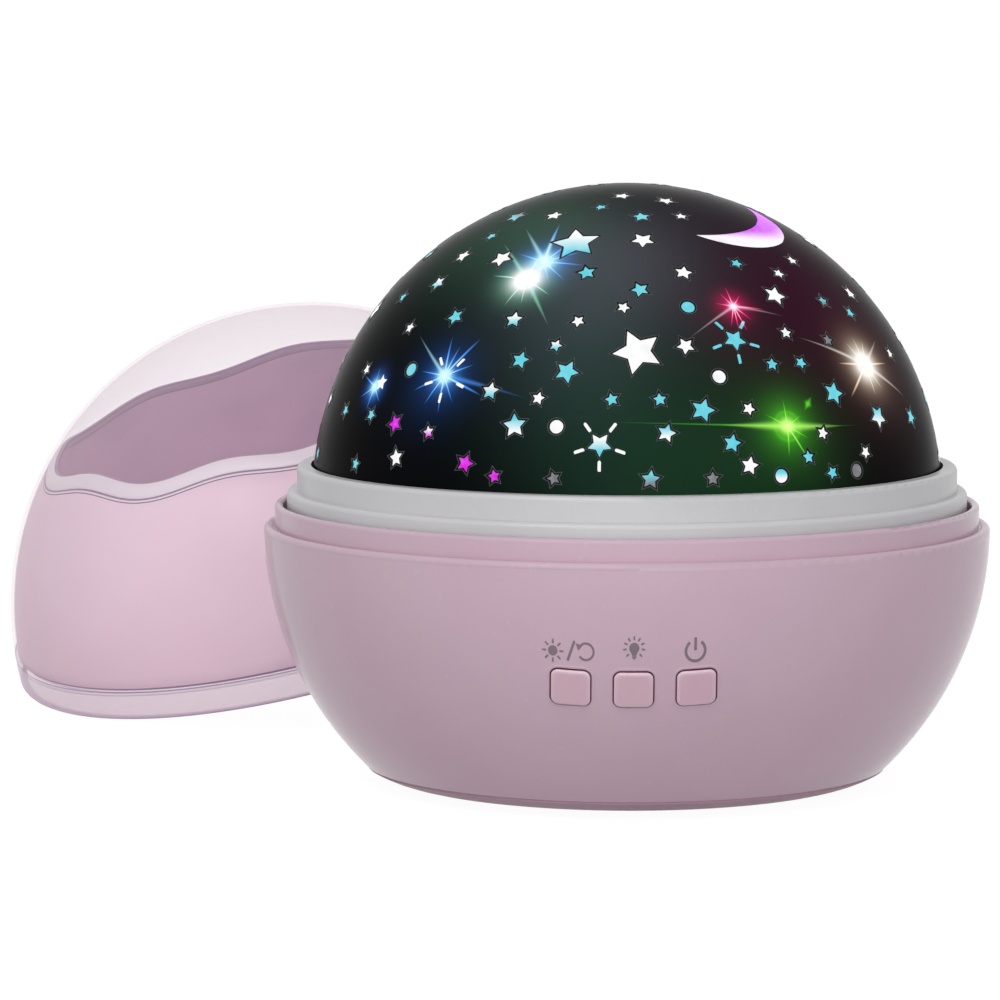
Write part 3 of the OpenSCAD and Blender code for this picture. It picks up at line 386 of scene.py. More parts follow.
def clear(name, colour, deep, thin, thick, roughness=0.12, edge=0.35, lines=None, glow=0.0):
    """Clear moulding, see-through face on and denser where its wall turns away.

    lines is a group that marks a thick rim and dark lines; glow is painted light, an emission of the tint
    that lifts it in shade.
    """
    material, tree, shader = new_finish(name)
    skin = use_group(tree, MOULDED_SKIN, {
        "Colour": colour, "Deep Colour": deep, "Clouding": 0.3, "Roughness": roughness,
        "Grain Depth": 0.04, "Grain Scale": 900.0, "Sheen Change": 0.05, "Specks": 0.0})
    feed_shader(tree, skin, shader, ("Roughness", "Normal"))
    turned = put(tree, "ShaderNodeLayerWeight", {"Blend": edge}).outputs["Facing"]
    alpha = calc(tree, "MULTIPLY_ADD", turned, thick - thin, thin, clamp=True)
    tint = skin["Colour"]
    if lines:
        marks = use_group(tree, lines, {})
        tint = mix_colour(tree, marks["Rim"], tint, srgb(216, 192, 206))
        tint = mix_colour(tree, marks["Line"], tint, srgb(142, 116, 156))
        alpha = calc(tree, "MULTIPLY_ADD", marks["Rim"], 0.42, alpha, clamp=True)
        alpha = calc(tree, "MULTIPLY_ADD", marks["Line"], 0.45, alpha, clamp=True)
    tree.links.new(tint, shader.inputs["Base Color"])
    tree.links.new(tint, shader.inputs["Emission Color"])
    shader.inputs["Emission Strength"].default_value = glow
    tree.links.new(alpha, shader.inputs["Alpha"])
    shader.inputs["IOR"].default_value = 1.49
    return material


def on_dome(azimuth, elevation):
    """Turn from a window's own axes (x to the side, y up, z out) to the dome's."""
    return (Matrix.Rotation(math.radians(azimuth), 3, "Z")
            @ Matrix.Rotation(math.radians(90 - elevation), 3, "X"))


# Glows painted on the smoked mask as light of the lamps behind it: azimuth, elevation, spread in degrees,
# colour, strength
MASK_GLOWS = [
    (-4, 52, 16, srgb(84, 86, 94), 0.50),
    (-44, 58, 16, srgb(52, 88, 70), 0.46),
    (-14, 38, 16, srgb(50, 64, 68), 0.55),
    (-42, 24, 8, srgb(18, 38, 66), 0.45),
    (-30, 62, 10, srgb(40, 66, 52), 0.40),
    (10, 11, 21, srgb(26, 66, 38), 0.48),
    (30, 15, 11, srgb(32, 84, 30), 0.34),
    (-8, 20, 16, srgb(20, 46, 38), 0.50),
    (44, 42, 20, srgb(80, 16, 52), 0.34),
    (22, 38, 7, srgb(92, 12, 50), 0.16),
    (58, 27, 10, srgb(84, 62, 58), 0.45),
    (30, 66, 14, srgb(50, 42, 60), 0.12),
]

BLUE = srgb(72, 146, 250)
PALE_BLUE = srgb(176, 238, 255)
DEEP_BLUE = srgb(22, 70, 150)
GREEN = srgb(76, 200, 30)
LIME = srgb(170, 255, 100)
PALE_GREEN = srgb(150, 226, 190)
RED_PINK = srgb(196, 10, 84)
MAGENTA = srgb(255, 40, 120)
PALE_PINK = srgb(255, 214, 232)
WARM = srgb(240, 206, 170)
PALE_WARM = srgb(255, 250, 240)
WHITE_LIGHT = (1, 1, 1, 1)
NO_LIGHT = (0, 0, 0, 1)

# Glints painted on the dome as light: azimuth and elevation; soft lights as (size in mm, hollow radius in mm,
# colour, strength);
# spikes as (inner colour, outer colour, (angle from the right turning up, length in mm) of each);
# streaks as (angle, length, width in mm, bend, colour, strength)
GLINTS = [
    (-25.2, 51.4,
     [(4.6, 0, BLUE, 0.42), (2.7, 0, BLUE, 1.0), (1.7, 0, PALE_BLUE, 2.2)],
     (PALE_BLUE, BLUE, [(-140, 6.0), (-112, 5.0), (-87, 10.0), (-62, 6.0), (-38, 7.0), (0, 8.0), (30, 7.5),
                        (62, 8.0), (97, 12.0), (158, 7.0)]),
     [(127, 13.0, 0.5, 0, PALE_BLUE, 1.0), (97, 11.0, 0.6, 0, PALE_BLUE, 1.0)]),
    (-27.9, 47.0,
     [(4.2, 0, PALE_GREEN, 0.6), (2.3, 0, WHITE_LIGHT, 2.4)],
     (WHITE_LIGHT, PALE_GREEN, [(-110, 7.0), (-80, 6.0), (-30, 7.0), (60, 7.0), (88, 7.0), (172, 8.0)]),
     [(132, 13.6, 0.5, 0, PALE_GREEN, 1.0), (-52, 12.4, 0.5, 0, PALE_GREEN, 1.0)]),
    (-39.4, 26.3,
     [(5.4, 0, DEEP_BLUE, 0.40), (2.5, 0, BLUE, 0.85), (1.2, 0, PALE_BLUE, 2.4)],
     (PALE_BLUE, BLUE, [(-155, 7.5), (-118, 6.5), (-84, 7.5), (-55, 6.0), (-18, 10.0), (25, 6.5), (57, 10.0),
                        (78, 6.5), (100, 8.0), (173, 6.0)]),
     [(141, 12.4, 0.34, 0, PALE_BLUE, 0.9), (-7, 17.5, 0.5, 0, BLUE, 0.8)]),
    (-58.8, 23.1,
     [(3.0, 0, DEEP_BLUE, 0.5), (2.0, 0, BLUE, 0.8), (1.0, 0, PALE_BLUE, 2.0)],
     (PALE_BLUE, BLUE, [(-150, 5.0), (-95, 5.0), (-40, 4.5), (40, 4.0), (100, 4.0), (160, 5.6)]),
     []),
    (24.1, 40.9,
     [(2.6, 0, RED_PINK, 0.75), (1.0, 0, MAGENTA, 1.6), (0.6, 0, PALE_PINK, 2.2)],
     (PALE_PINK, MAGENTA, [(-112, 5.0), (-95, 5.5), (-78, 6.0), (-48, 4.4), (-6, 6.4), (50, 3.6), (92, 4.8),
                           (120, 3.8), (165, 3.8)]),
     [(-11, 9.8, 0.3, 0, PALE_PINK, 0.5), (-150, 12.0, 0.24, 0, PALE_PINK, 0.6)]),
    (54.4, 27.6,
     [(4.6, 0, WARM, 0.42), (2.6, 0, PALE_WARM, 2.0)],
     (PALE_WARM, WARM, [(-144, 10.0), (-92, 6.4), (-60, 6.0), (0, 8.0), (60, 6.0), (88, 6.0), (120, 6.0),
                        (172, 8.0)]),
     [(152, 15.5, 0.4, 0, PALE_WARM, 0.85), (-31, 12.5, 0.45, 0, PALE_WARM, 0.9),
      (30, 9.4, 0.4, 0, PALE_WARM, 0.9)]),
    (29.4, 17.6,
     [(4.6, 0, GREEN, 0.40), (2.2, 0, GREEN, 0.9), (1.1, 0, LIME, 2.0), (0.3, 2.5, GREEN, 0.3)],
     (LIME, GREEN, [(-95, 6.0), (-60, 8.0), (-30, 5.0), (30, 4.0), (90, 5.0), (150, 5.0)]),
     [(-3.4, 12.0, 0.75, 0.004, LIME, 1.0), (176.6, 12.6, 0.75, -0.0025, LIME, 1.0),
      (176.6, 31.0, 0.18, -0.0025, GREEN, 0.9), (-3.4, 16.0, 0.16, 0.004, GREEN, 0.6)]),
    (34.8, 21.3, [(0.5, 0, GREEN, 0.5)], None,
     [(48, 1.8, 0.5, 0, GREEN, 1.0), (228, 1.6, 0.35, 0, GREEN, 0.9)]),
]
# Half a spike's width as a share of a turn, and the length in mm that a ramp's white stands for
SPIKE_HALF = 5.5 / 360
LONGEST = 20.0


def add_spikes(group, glints, place, inner, outer, spikes):
    """Adds short tapering spikes round a glint's middle to the light so far."""
    stops = [(0.0, (0.05, 0.05, 0.05, 1))]
    for angle, length in spikes:
        middle = (angle + 180) / 360
        for off, reach in ((-SPIKE_HALF, 0.05), (0, length / LONGEST), (SPIKE_HALF, 0.05)):
            stops.append((middle + off, (reach, reach, reach, 1)))
    reach = calc(group, "MULTIPLY", ramp(group, place["Turn"], stops), LONGEST)
    share = calc(group, "DIVIDE", place["Away"], reach)
    light = ramp(group, share, [(0.0, inner), (0.3, inner), (0.6, outer), (1.0, NO_LIGHT)])
    return mix_colour(group, 1.0, glints, light, "SCREEN")


def make_dome_lights():
    """Light painted on the dome: soft glows of the lamps behind the mask, and the glints that also cross the
    windows.
    """
    group, _, out = start_group("dome_lights", [], [("Glows", "colour"), ("Glints", "colour")])
    direction = use_group(group, DOME_DIRECTION, {})["Direction"]

    glows = NO_LIGHT
    for azimuth, elevation, spread, colour, strength in MASK_GLOWS:
        amount = use_group(group, SOFT_LIGHT, {
            "Direction": direction, "Middle": on_dome(azimuth, elevation) @ Vector((0, 0, 1)),
            "Spread": float(spread), "Strength": strength})["Amount"]
        glows = mix_colour(group, amount, glows, colour, "SCREEN")
    glints = NO_LIGHT
    for azimuth, elevation, softs, spikes, streaks in GLINTS:
        turn = on_dome(azimuth, elevation)
        middle = turn @ Vector((0, 0, 1))
        for size, hollow, colour, strength in softs:
            amount = use_group(group, SOFT_LIGHT, {
                "Direction": direction, "Middle": middle, "Spread": math.degrees(size / MASK_R),
                "Hollow": math.degrees(hollow / MASK_R), "Strength": strength})["Amount"]
            glints = mix_colour(group, amount, glints, colour, "SCREEN")
        if spikes:
            place = use_group(group, GLINT_PLACE, {
                "Direction": direction, "Middle": middle, "Right": turn @ Vector((1, 0, 0)),
                "Up": turn @ Vector((0, 1, 0))})
            glints = add_spikes(group, glints, place, *spikes)
        for angle, length, width, bend, colour, strength in streaks:
            a = math.radians(angle)
            amount = use_group(group, LIGHT_RAY, {
                "Direction": direction, "Middle": middle,
                "Along": turn @ Vector((math.cos(a), math.sin(a), 0)),
                "Side": turn @ Vector((-math.sin(a), math.cos(a), 0)),
                "Length": length, "Width": width, "Bend": float(bend), "Strength": strength})["Amount"]
            glints = mix_colour(group, amount, glints, colour, "SCREEN")
    group.links.new(glows, out["Glows"])
    group.links.new(glints, out["Glints"])
    return group


DOME_LIGHTS = make_dome_lights()


def smoked_mask():
    """Near-black mask over the dome, with painted light on it: glows of the lamps inside, and their glints.
    """
    material, tree, shader = new_finish("smoked_star_mask")
    skin = use_group(tree, MOULDED_SKIN, {
        "Colour": srgb(12, 12, 14), "Deep Colour": srgb(5, 5, 7), "Clouding": 0.5,
        "Roughness": 0.24, "Grain Depth": 0.02, "Grain Scale": 700.0, "Sheen Change": 0.06, "Specks": 0.0})
    feed_shader(tree, skin, shader)
    lights = use_group(tree, DOME_LIGHTS, {})
    light = mix_colour(tree, 1.0, lights["Glows"], lights["Glints"], "SCREEN")
    tree.links.new(light, shader.inputs["Emission Color"])
    shader.inputs["Emission Strength"].default_value = 1.0
    shader.inputs["IOR"].default_value = 1.05
    return material


def lit_window():
    """Clear window with the lamps behind it, their light painted on as a glow of its own tint, a little
    uneven, under the painted glints.
    """
    material, tree, shader = new_finish("lit_window")
    tint = put(tree, "ShaderNodeVertexColor", layer_name="tint").outputs["Color"]
    place = object_place(tree)
    uneven = fade(tree, noise(tree, place, 700.0, 3.0), 0.35, 0.7, 0.0, 0.10)
    lit = mix_colour(tree, uneven, tint, (1, 1, 1, 1))
    dim = fade(tree, noise(tree, place, 260.0, 1.0), 0.52, 0.75, 0.0, 0.10)
    lit = mix_colour(tree, dim, lit, srgb(90, 110, 120))
    glints = use_group(tree, DOME_LIGHTS, {})["Glints"]
    tree.links.new(mix_colour(tree, 1.0, lit, glints, "SCREEN"), shader.inputs["Emission Color"])
    shader.inputs["Emission Strength"].default_value = 1.0
    shader.inputs["Base Color"].default_value = srgb(20, 22, 24)
    shader.inputs["Specular IOR Level"].default_value = 0.1
    tree.links.new(fade(tree, uneven, 0.0, 0.10, 0.18, 0.3), shader.inputs["Roughness"])
    return material


def board_lacquer(name, lacquer, track):
    """Circuit board: lacquer over etched tracks and round pads."""
    material, tree, shader = new_finish(name)
    place = object_place(tree)
    cells = put(tree, "ShaderNodeTexBrick", {
        "Vector": place, "Scale": 110.0, "Color1": (0, 0, 0, 1), "Color2": (0.1, 0.1, 0.1, 1),
        "Mortar": (1, 1, 1, 1), "Mortar Size": 0.06, "Mortar Smooth": 0.3, "Brick Width": 0.9,
        "Row Height": 0.28})
    pads = put(tree, "ShaderNodeTexVoronoi", {"Vector": place, "Scale": 260.0, "Randomness": 0.25})
    dots = fade(tree, pads.outputs["Distance"], 0.16, 0.2, 1.0, 0.0)
    lines = fade(tree, cells.outputs["Fac"], 0.3, 0.7)
    tracks = calc(tree, "MAXIMUM", lines, dots)
    base = mix_colour(tree, fade(tree, noise(tree, place, 90.0, 3.0), 0.3, 0.7), lacquer, track)
    laid = mix_colour(tree, calc(tree, "MULTIPLY", tracks, 0.55), base, track)
    tree.links.new(laid, shader.inputs["Base Color"])
    dulled = fade(tree, noise(tree, place, 500.0, 2.0), 0.3, 0.7, 0.25, 0.42)
    tree.links.new(dulled, shader.inputs["Roughness"])
    bump = put(tree, "ShaderNodeBump", {"Strength": 0.4, "Distance": 0.00005, "Height": tracks})
    tree.links.new(bump.outputs["Normal"], shader.inputs["Normal"])
    return material


def cell_jacket():
    """Shrink jacket of a dry cell: two plain bands, with metal at the ends."""
    material, tree, shader = new_finish("cell_jacket")
    skin = use_group(tree, MOULDED_SKIN, {
        "Colour": srgb(58, 66, 84), "Deep Colour": srgb(34, 40, 54), "Roughness": 0.3})
    along = put(tree, "ShaderNodeSeparateXYZ", {0: object_place(tree)}).outputs["Y"]
    reach = calc(tree, "ABSOLUTE", along)
    band = fade(tree, reach, 0.0125, 0.0128)
    ends = fade(tree, reach, 0.0212, 0.0214)
    banded = mix_colour(tree, band, skin["Colour"], srgb(196, 158, 92))
    tree.links.new(mix_colour(tree, ends, banded, srgb(190, 190, 188)), shader.inputs["Base Color"])
    tree.links.new(ends, shader.inputs["Metallic"])
    feed_shader(tree, skin, shader, ("Roughness", "Normal"))
    return material


SHELL = satin("pink_shell", srgb(208, 180, 195), srgb(202, 172, 188), roughness=0.42, specular=0.25, coat=0.6)
# Bottom cover and battery door are a darker pink than the shell: painted shade on the underside.
UNDERSIDE_SHADE = satin("pink_bottom_painted_shade", srgb(180, 146, 164), srgb(172, 137, 156), roughness=0.5, specular=0.2)
BUTTON = satin("pink_button", srgb(214, 178, 193), srgb(207, 168, 185), roughness=0.32)
# The rolled rim of a cap is lighter than its face, most on its outer side: painted highlight.
BUTTON_EDGE_HIGHLIGHT = satin("pink_button_edge_painted_highlight", srgb(228, 202, 214), srgb(220, 192, 206), roughness=0.2)
BUTTON_ROLL_HIGHLIGHT = satin("pink_button_roll_painted_highlight", srgb(219, 187, 201), srgb(212, 178, 194), roughness=0.26)
# Ledge, side, flange and stem of each cap are dark maroon: painted shade in the gap round the cap.
GAP_SHADE = satin("button_gap_painted_shade", srgb(112, 54, 78), srgb(92, 40, 64), roughness=0.45)
RING = satin("grey_ring", srgb(206, 206, 208), srgb(196, 196, 199), roughness=0.34)
WHITE = satin("inner_white", srgb(228, 228, 230), srgb(212, 212, 216), roughness=0.45)
NYLON = satin("nylon_gear", srgb(232, 230, 220), srgb(214, 211, 198), roughness=0.5)
BLACK = satin("black_part", srgb(36, 36, 39), srgb(26, 26, 29), roughness=0.5)
LINER = satin("pink_liner", srgb(248, 223, 238), srgb(243, 211, 227), roughness=0.4, clouding=0.7,
              cloud_scale=20.0)
RUBBER = satin("foot_rubber", srgb(214, 208, 210), srgb(190, 184, 188), roughness=0.7, grain=0.8,
               grain_scale=1400.0)
INK = satin("symbol_ink", srgb(128, 112, 122), srgb(112, 98, 108), roughness=0.5, grain_scale=4000.0)
PALE_WIRE = satin("wire_pale", srgb(222, 220, 208), srgb(200, 198, 184), roughness=0.5)
RED_WIRE = satin("wire_red", srgb(190, 48, 42), srgb(150, 32, 30), roughness=0.45)
BLACK_WIRE = satin("wire_black", srgb(46, 46, 50), srgb(30, 30, 34), roughness=0.45)
CAN = satin("capacitor_sleeve", srgb(44, 52, 96), srgb(30, 36, 72), roughness=0.35)
STEEL = metal("plated_steel", srgb(205, 206, 208), srgb(160, 156, 148))
CLEAR_DOME = clear("clear_dome", srgb(236, 240, 244), srgb(220, 228, 236), 0.15, 0.7)
CLEAR_COVER = clear("clear_cover", srgb(250, 226, 239), srgb(244, 216, 231), 0.06, 0.23, edge=0.42,
                    roughness=0.3, lines=RIM_MARKS, glow=0.21)
CLEAR_INSIDE = clear("clear_cover_inside", srgb(220, 184, 203), srgb(210, 172, 193), 0.0, 0.23, edge=0.36,
                     roughness=0.4, glow=0.1)
LINER_BAND = satin("liner_edge_band", srgb(246, 238, 245), srgb(238, 228, 238), roughness=0.3)
LINER_LINE = satin("liner_edge_line", srgb(164, 136, 168), srgb(150, 122, 156), roughness=0.4)
LINER_LIP = satin("liner_inner_lip", srgb(196, 170, 198), srgb(186, 158, 188), roughness=0.4)
# Inside face of the liner: a darker copy of its pink, as painted shade, with strong large clouding that
# paints shade and soft reflections.
LINER_INNER_SHADE = satin("liner_inner_painted_shade", srgb(246, 208, 234), srgb(206, 166, 204), roughness=0.45,
                    clouding=0.9, cloud_scale=26.0)
WINDOW_EDGE = satin("window_edge", srgb(9, 10, 10), srgb(5, 6, 6), roughness=0.4, specular=0.1)
WINDOW_LINE = satin("window_line", srgb(88, 90, 94), srgb(66, 70, 72), roughness=0.4, specular=0.1)
MASK = smoked_mask()
WINDOW = lit_window()
BOARD = board_lacquer("green_board", srgb(24, 92, 54), srgb(46, 128, 74))
WHITE_BOARD = board_lacquer("white_board", srgb(226, 226, 220), srgb(206, 206, 198))
CELL = cell_jacket()
LED_FINISHES = {
    "led_warm": satin("led_warm", srgb(255, 244, 214), srgb(255, 230, 180), roughness=0.15, emission=0.6),
    "led_red": satin("led_red", srgb(250, 90, 100), srgb(230, 60, 80), roughness=0.15, emission=0.6),
    "led_green": satin("led_green", srgb(110, 235, 110), srgb(80, 210, 90), roughness=0.15, emission=0.6),
    "led_blue": satin("led_blue", srgb(110, 150, 250), srgb(80, 120, 240), roughness=0.15, emission=0.6),
}

DRESSED = [
    (SHELL, ["base_shell"]),
    (UNDERSIDE_SHADE, ["bottom_cover", "battery_door"]),
    (RING, ["turntable_ring"]),
    (WHITE, ["deck_plate", "turntable_clips", "led_post", "lead_sockets", "gearbox", "plunger_1",
             "plunger_2", "plunger_3"]),
    (NYLON, ["pinion"]),
    (BLACK, ["control_chip", "push_switch_1", "push_switch_2", "push_switch_3", "usb_tongue"]),
    (LINER, ["cover_liner"]),
    (BUTTON, ["button_turn", "button_light", "button_power"]),
    (MASK, ["star_mask"]),
    (CLEAR_DOME, ["projection_dome"]),
    (CLEAR_COVER, ["cover_shell"]),
    (RUBBER, ["foot_1", "foot_2", "foot_3", "foot_4"]),
    (STEEL, ["door_screws", "case_screws", "deck_screws", "clip_screws", "post_screws", "board_screws",
             "motor_screws", "dome_screws", "contact_springs", "contact_plates", "usb_shell", "motor_can",
             "output_shaft"]),
    (CELL, ["battery_cell_1", "battery_cell_2", "battery_cell_3", "battery_cell_4"]),
    (BOARD, ["main_board", "switch_board"]),
    (WHITE_BOARD, ["led_board"]),
    (CAN, ["capacitor"]),
    (PALE_WIRE, ["led_lead"]),
    (RED_WIRE, ["motor_leads"]),
    (BLACK_WIRE, ["battery_leads"]),
]
DRESSED += [(finish, [node]) for node, finish in LED_FINISHES.items()]


def dress_solids():
    for finish, names in DRESSED:
        for name in names:
            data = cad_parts[name].data
            data.materials.clear()
            data.materials.append(finish)


dress_solids()


# ---------------------------------------------------------------- mesh helpers

def finish_piece(bm, name, body, material, smooth_angle=35):
    """Turns a mesh in millimetres into a piece that rides on its body."""
    bmesh.ops.recalc_face_normals(bm, faces=bm.faces)
    bmesh.ops.scale(bm, vec=(MM, MM, MM), verts=bm.verts)
    data = bpy.data.meshes.new(name)
    bm.to_mesh(data)
    bm.free()
    for finish in material if isinstance(material, list) else [material]:
        data.materials.append(finish)
    data.shade_smooth()
    data.set_sharp_from_angle(angle=math.radians(smooth_angle))
    piece = bpy.data.objects.new(name, data)
    bpy.context.scene.collection.objects.link(piece)
    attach(piece, body)
    return piece


def skin_rings(bm, rings, finishes=None, tube=False):
    """Joins rings of points into a closed body or tube; finishes gives each band's material."""
    rows = [[bm.verts.new(p) for p in ring] for ring in rings]
    count = len(rows[0])
    pairs = list(zip(rows, rows[1:]))
    if tube:
        pairs.append((rows[-1], rows[0]))
    for band, (low, high) in enumerate(pairs):
        for i in range(count):
            j = (i + 1) % count
            face = bm.faces.new((low[i], low[j], high[j], high[i]))
            face.material_index = finishes[band] if finishes else 0
    if not tube:
        bm.faces.new(rows[0][::-1])
        bm.faces.new(rows[-1])


def close_film(bm, top, low):
    """Faces of a thin body between two layers of the same grid of corners."""
    rows, columns = len(top), len(top[0])
    for i in range(rows - 1):
        for k in range(columns - 1):
            bm.faces.new((top[i][k], top[i][k + 1], top[i + 1][k + 1], top[i + 1][k]))
            bm.faces.new((low[i][k], low[i + 1][k], low[i + 1][k + 1], low[i][k + 1]))
        for k in (0, columns - 1):
            bm.faces.new((top[i][k], top[i + 1][k], low[i + 1][k], low[i][k]))
    for i in (0, rows - 1):
        for k in range(columns - 1):
            bm.faces.new((top[i][k], low[i][k], low[i][k + 1], top[i][k + 1]))


# ---------------------------------------------------------------- lit windows

SMALL, MEDIUM, LARGE, GIANT = 2.5, 3.4, 4.4, 8.8
STAR_WAIST = 0.5
DOT = 2.4
# Rays round a star: width in mm, and their ends as shares of the star's width
RAY_W = 0.52
RAY_IN = 0.62
RAY_OUT = 1.05
RAYED_TURN = 36
MOON_R = 13.3
MOON_AZIMUTH = 46.7
MOON_ELEVATION = 68.5
MOON_TURN = -65
# Larger disc that cuts the crescent out: its radius and its shift, as shares of the crescent's radius
MOON_CUT = 1.25
MOON_SHIFT = 0.68
# Gaps between a plug and its opening, at a star's points and waists, at a ray's ends, round a dot and a moon
TIP_GAP = 0.14
WAIST_GAP = 0.06
RAY_GAP = 0.04
DOT_GAP = 0.06
MOON_GAP = 0.12
# Inside of the plugs, and the outside of those where the mask has no opening
PLUG_INSIDE = MASK_R - MASK_T + 0.02
PROUD_FACE = MASK_R + 0.03

# Stars by size and elevation: azimuth and the tints of the upper and lower part
# w white, c cyan, p magenta, b blue, g dull grey
STARS = [
    (SMALL, 70, {-15: "cc"}), (SMALL, 66, {23: "ww"}), (SMALL, 58, {-54: "cc"}),
    (SMALL, 51, {-24: "cc", 31: "cc", 53: "ww"}), (SMALL, 48, {43: "ww"}),
    (SMALL, 41, {-69: "cc", -2: "ww", 52: "cg"}), (SMALL, 38, {-12: "ww", 60: "cc"}),
    (SMALL, 35, {-56: "ww", 35: "ww"}), (SMALL, 33, {-16: "wc", 46: "gg"}),
    (SMALL, 29, {29: "cc", 36: "cc", 68: "ww"}), (SMALL, 26, {-65: "ww"}),
    (SMALL, 23, {-18: "ww", -4: "cc", 5: "cc"}), (SMALL, 21, {22: "ww"}), (SMALL, 18, {-68: "cc", -57: "cc"}),
    (SMALL, 16, {-40: "wp", 37: "ww"}), (SMALL, 12, {33: "cc", 47: "ww"}),
    (SMALL, 9, {-59: "cc", -25: "pp", -14: "gg", 14: "gg", 38: "cc"}),
    (MEDIUM, 76, {-5: "ww"}), (MEDIUM, 73, {23: "ww"}), (MEDIUM, 66, {-35: "ww", 5: "cc"}),
    (MEDIUM, 52, {-57: "ww"}), (MEDIUM, 49, {-12: "cc", 14: "ww"}), (MEDIUM, 45, {-57: "wc", 2: "cc"}),
    (MEDIUM, 42, {68: "ww"}), (MEDIUM, 38, {-43: "cc", -27: "wc"}), (MEDIUM, 33, {11: "ww"}),
    (MEDIUM, 30, {-23: "cc"}), (MEDIUM, 24, {-57: "ww", -28: "wc"}),
    (MEDIUM, 17, {-49: "pp", 6: "cw", 66: "cc"}),
    (MEDIUM, 15, {18: "cc"}), (MEDIUM, 11, {-47: "ww", -31: "pp", 21: "ww"}), (MEDIUM, 9, {3: "cg"}),
    (LARGE, 65, {-56: "gc"}), (LARGE, 58, {4: "ww"}), (LARGE, 52, {-40: "ww"}), (LARGE, 43, {37: "ww"}),
    (LARGE, 28, {-13: "cc", 55: "ww"}), (LARGE, 23, {42: "cc"}), (LARGE, 21, {13: "cc"}),
    (LARGE, 18, {-22: "cw", 53: "cw"}), (LARGE, 47, {-27: "ww"}),
    (GIANT, 57, {-18: "wc"}), (GIANT, 32, {1: "ww"}),
]
# Stars with rays: azimuth and elevation, and the tints of the star and of its rays
SHINING_STARS = {(22, 34): ("cc", "cc"), (-39, 26): ("bb", "ww"), (-6, 15): ("wc", "ww")}
DOTS = {(13, 41): "cc", (-49, 27): "cc", (17, 27): "ww", (-14, 18): "ww", (27, 9): "cw", (44, 9): "gg"}
# Stars painted as lit on the mask's two sides, where it has no openings, so they stand just proud of its
# skin:
# size, azimuth, elevation, tints
SIDE_STARS = [
    (SMALL, 90, 66, "ww"), (MEDIUM, 84, 55, "ww"), (SMALL, 97, 51, "cc"), (SMALL, 87, 43, "cc"),
    (LARGE, 96, 37, "ww"), (SMALL, 84, 31, "ww"), (SMALL, 92, 26, "cc"), (MEDIUM, 84, 19, "cc"),
    (SMALL, 98, 19, "ww"), (SMALL, 91, 12, "pp"), (SMALL, 83, 8, "ww"), (SMALL, 99, 9, "cc"),
    (SMALL, 91, 76, "cc"), (SMALL, 96, 84, "ww"),
]
TINTS = {
    "w": srgb(252, 252, 252),
    "c": srgb(92, 208, 224),
    "p": srgb(222, 0, 228),
    "b": srgb(26, 84, 190),
    "g": srgb(112, 114, 118),
}


MOON_WHITE = Vector(srgb(252, 246, 253))
MOON_VIOLET = Vector(srgb(204, 40, 238))


def star_turn(azimuth, elevation):
    """Degrees that a star is turned in its place, so that neighbours don't stand alike."""
    return 7 * azimuth + 5 * elevation


def dome_point(placing, x, y, radius):
    """Point of a sphere round the dome's middle, x to the side and y up from where placing puts it."""
    placed = placing @ Vector((x, y, math.sqrt(radius ** 2 - x * x - y * y)))
    return Vector((placed.x, placed.y, placed.z + DOME_Z))


def star_corners(tip, waist):
    """Ten corners of a five-pointed star, first point up."""
    return [((tip if i % 2 == 0 else waist) * math.sin(math.radians(36 * i)),
             (tip if i % 2 == 0 else waist) * math.cos(math.radians(36 * i))) for i in range(10)]


def star_outline(width):
    """Five-pointed star, inset a little from its opening."""
    return star_corners(width / 2 - TIP_GAP, width / 2 * STAR_WAIST - WAIST_GAP)


def add_window(bm, tint_layer, outline, azimuth, elevation, turn, tints, cuts=2, face=MASK_R - WINDOW_SUNK):
    """Adds a lit plug that follows the dome, its outside at radius face."""
    spun = Matrix.Rotation(math.radians(turn), 2)
    flat = [spun @ Vector(point) for point in outline]
    sheet = bmesh.new()
    whole = sheet.faces.new([sheet.verts.new((p.x, p.y, 0)) for p in flat])
    bmesh.ops.triangulate(sheet, faces=[whole])
    bmesh.ops.subdivide_edges(sheet, edges=sheet.edges[:], cuts=cuts, use_grid_fill=True)
    reach = max(abs(p.y) for p in flat)
    placing = on_dome(azimuth, elevation)
    lower, upper = Vector(TINTS[tints[1]]), Vector(TINTS[tints[0]])
    layers = []
    for radius in (face, PLUG_INSIDE):
        layer = []
        for v in sheet.verts:
            x, y = v.co.x, v.co.y
            corner = bm.verts.new(dome_point(placing, x, y, radius))
            corner[tint_layer] = lower.lerp(upper, min(max(0.5 + 0.9 * y / reach, 0.0), 1.0))
            layer.append(corner)
        layers.append(layer)
    sheet.verts.index_update()
    top, low = layers
    for f in sheet.faces:
        ids = [v.index for v in f.verts]
        bm.faces.new([top[i] for i in ids])
        bm.faces.new([low[i] for i in reversed(ids)])
    for e in sheet.edges:
        if e.is_boundary:
            a, b = (v.index for v in e.verts)
            bm.faces.new((top[a], top[b], low[b], low[a]))
    sheet.free()


def disc_outline(radius, count=20):
    return [(radius * math.cos(2 * math.pi * i / count), radius * math.sin(2 * math.pi * i / count))
            for i in range(count)]


def slot_outline(width, low, high, steps=5):
    """Upright slot with round ends."""
    r = width / 2
    ends = [(r * math.cos(math.pi * i / steps), r * math.sin(math.pi * i / steps)) for i in range(steps + 1)]
    return ([(x, high - r + y) for x, y in ends] + [(-x, low + r - y) for x, y in ends])


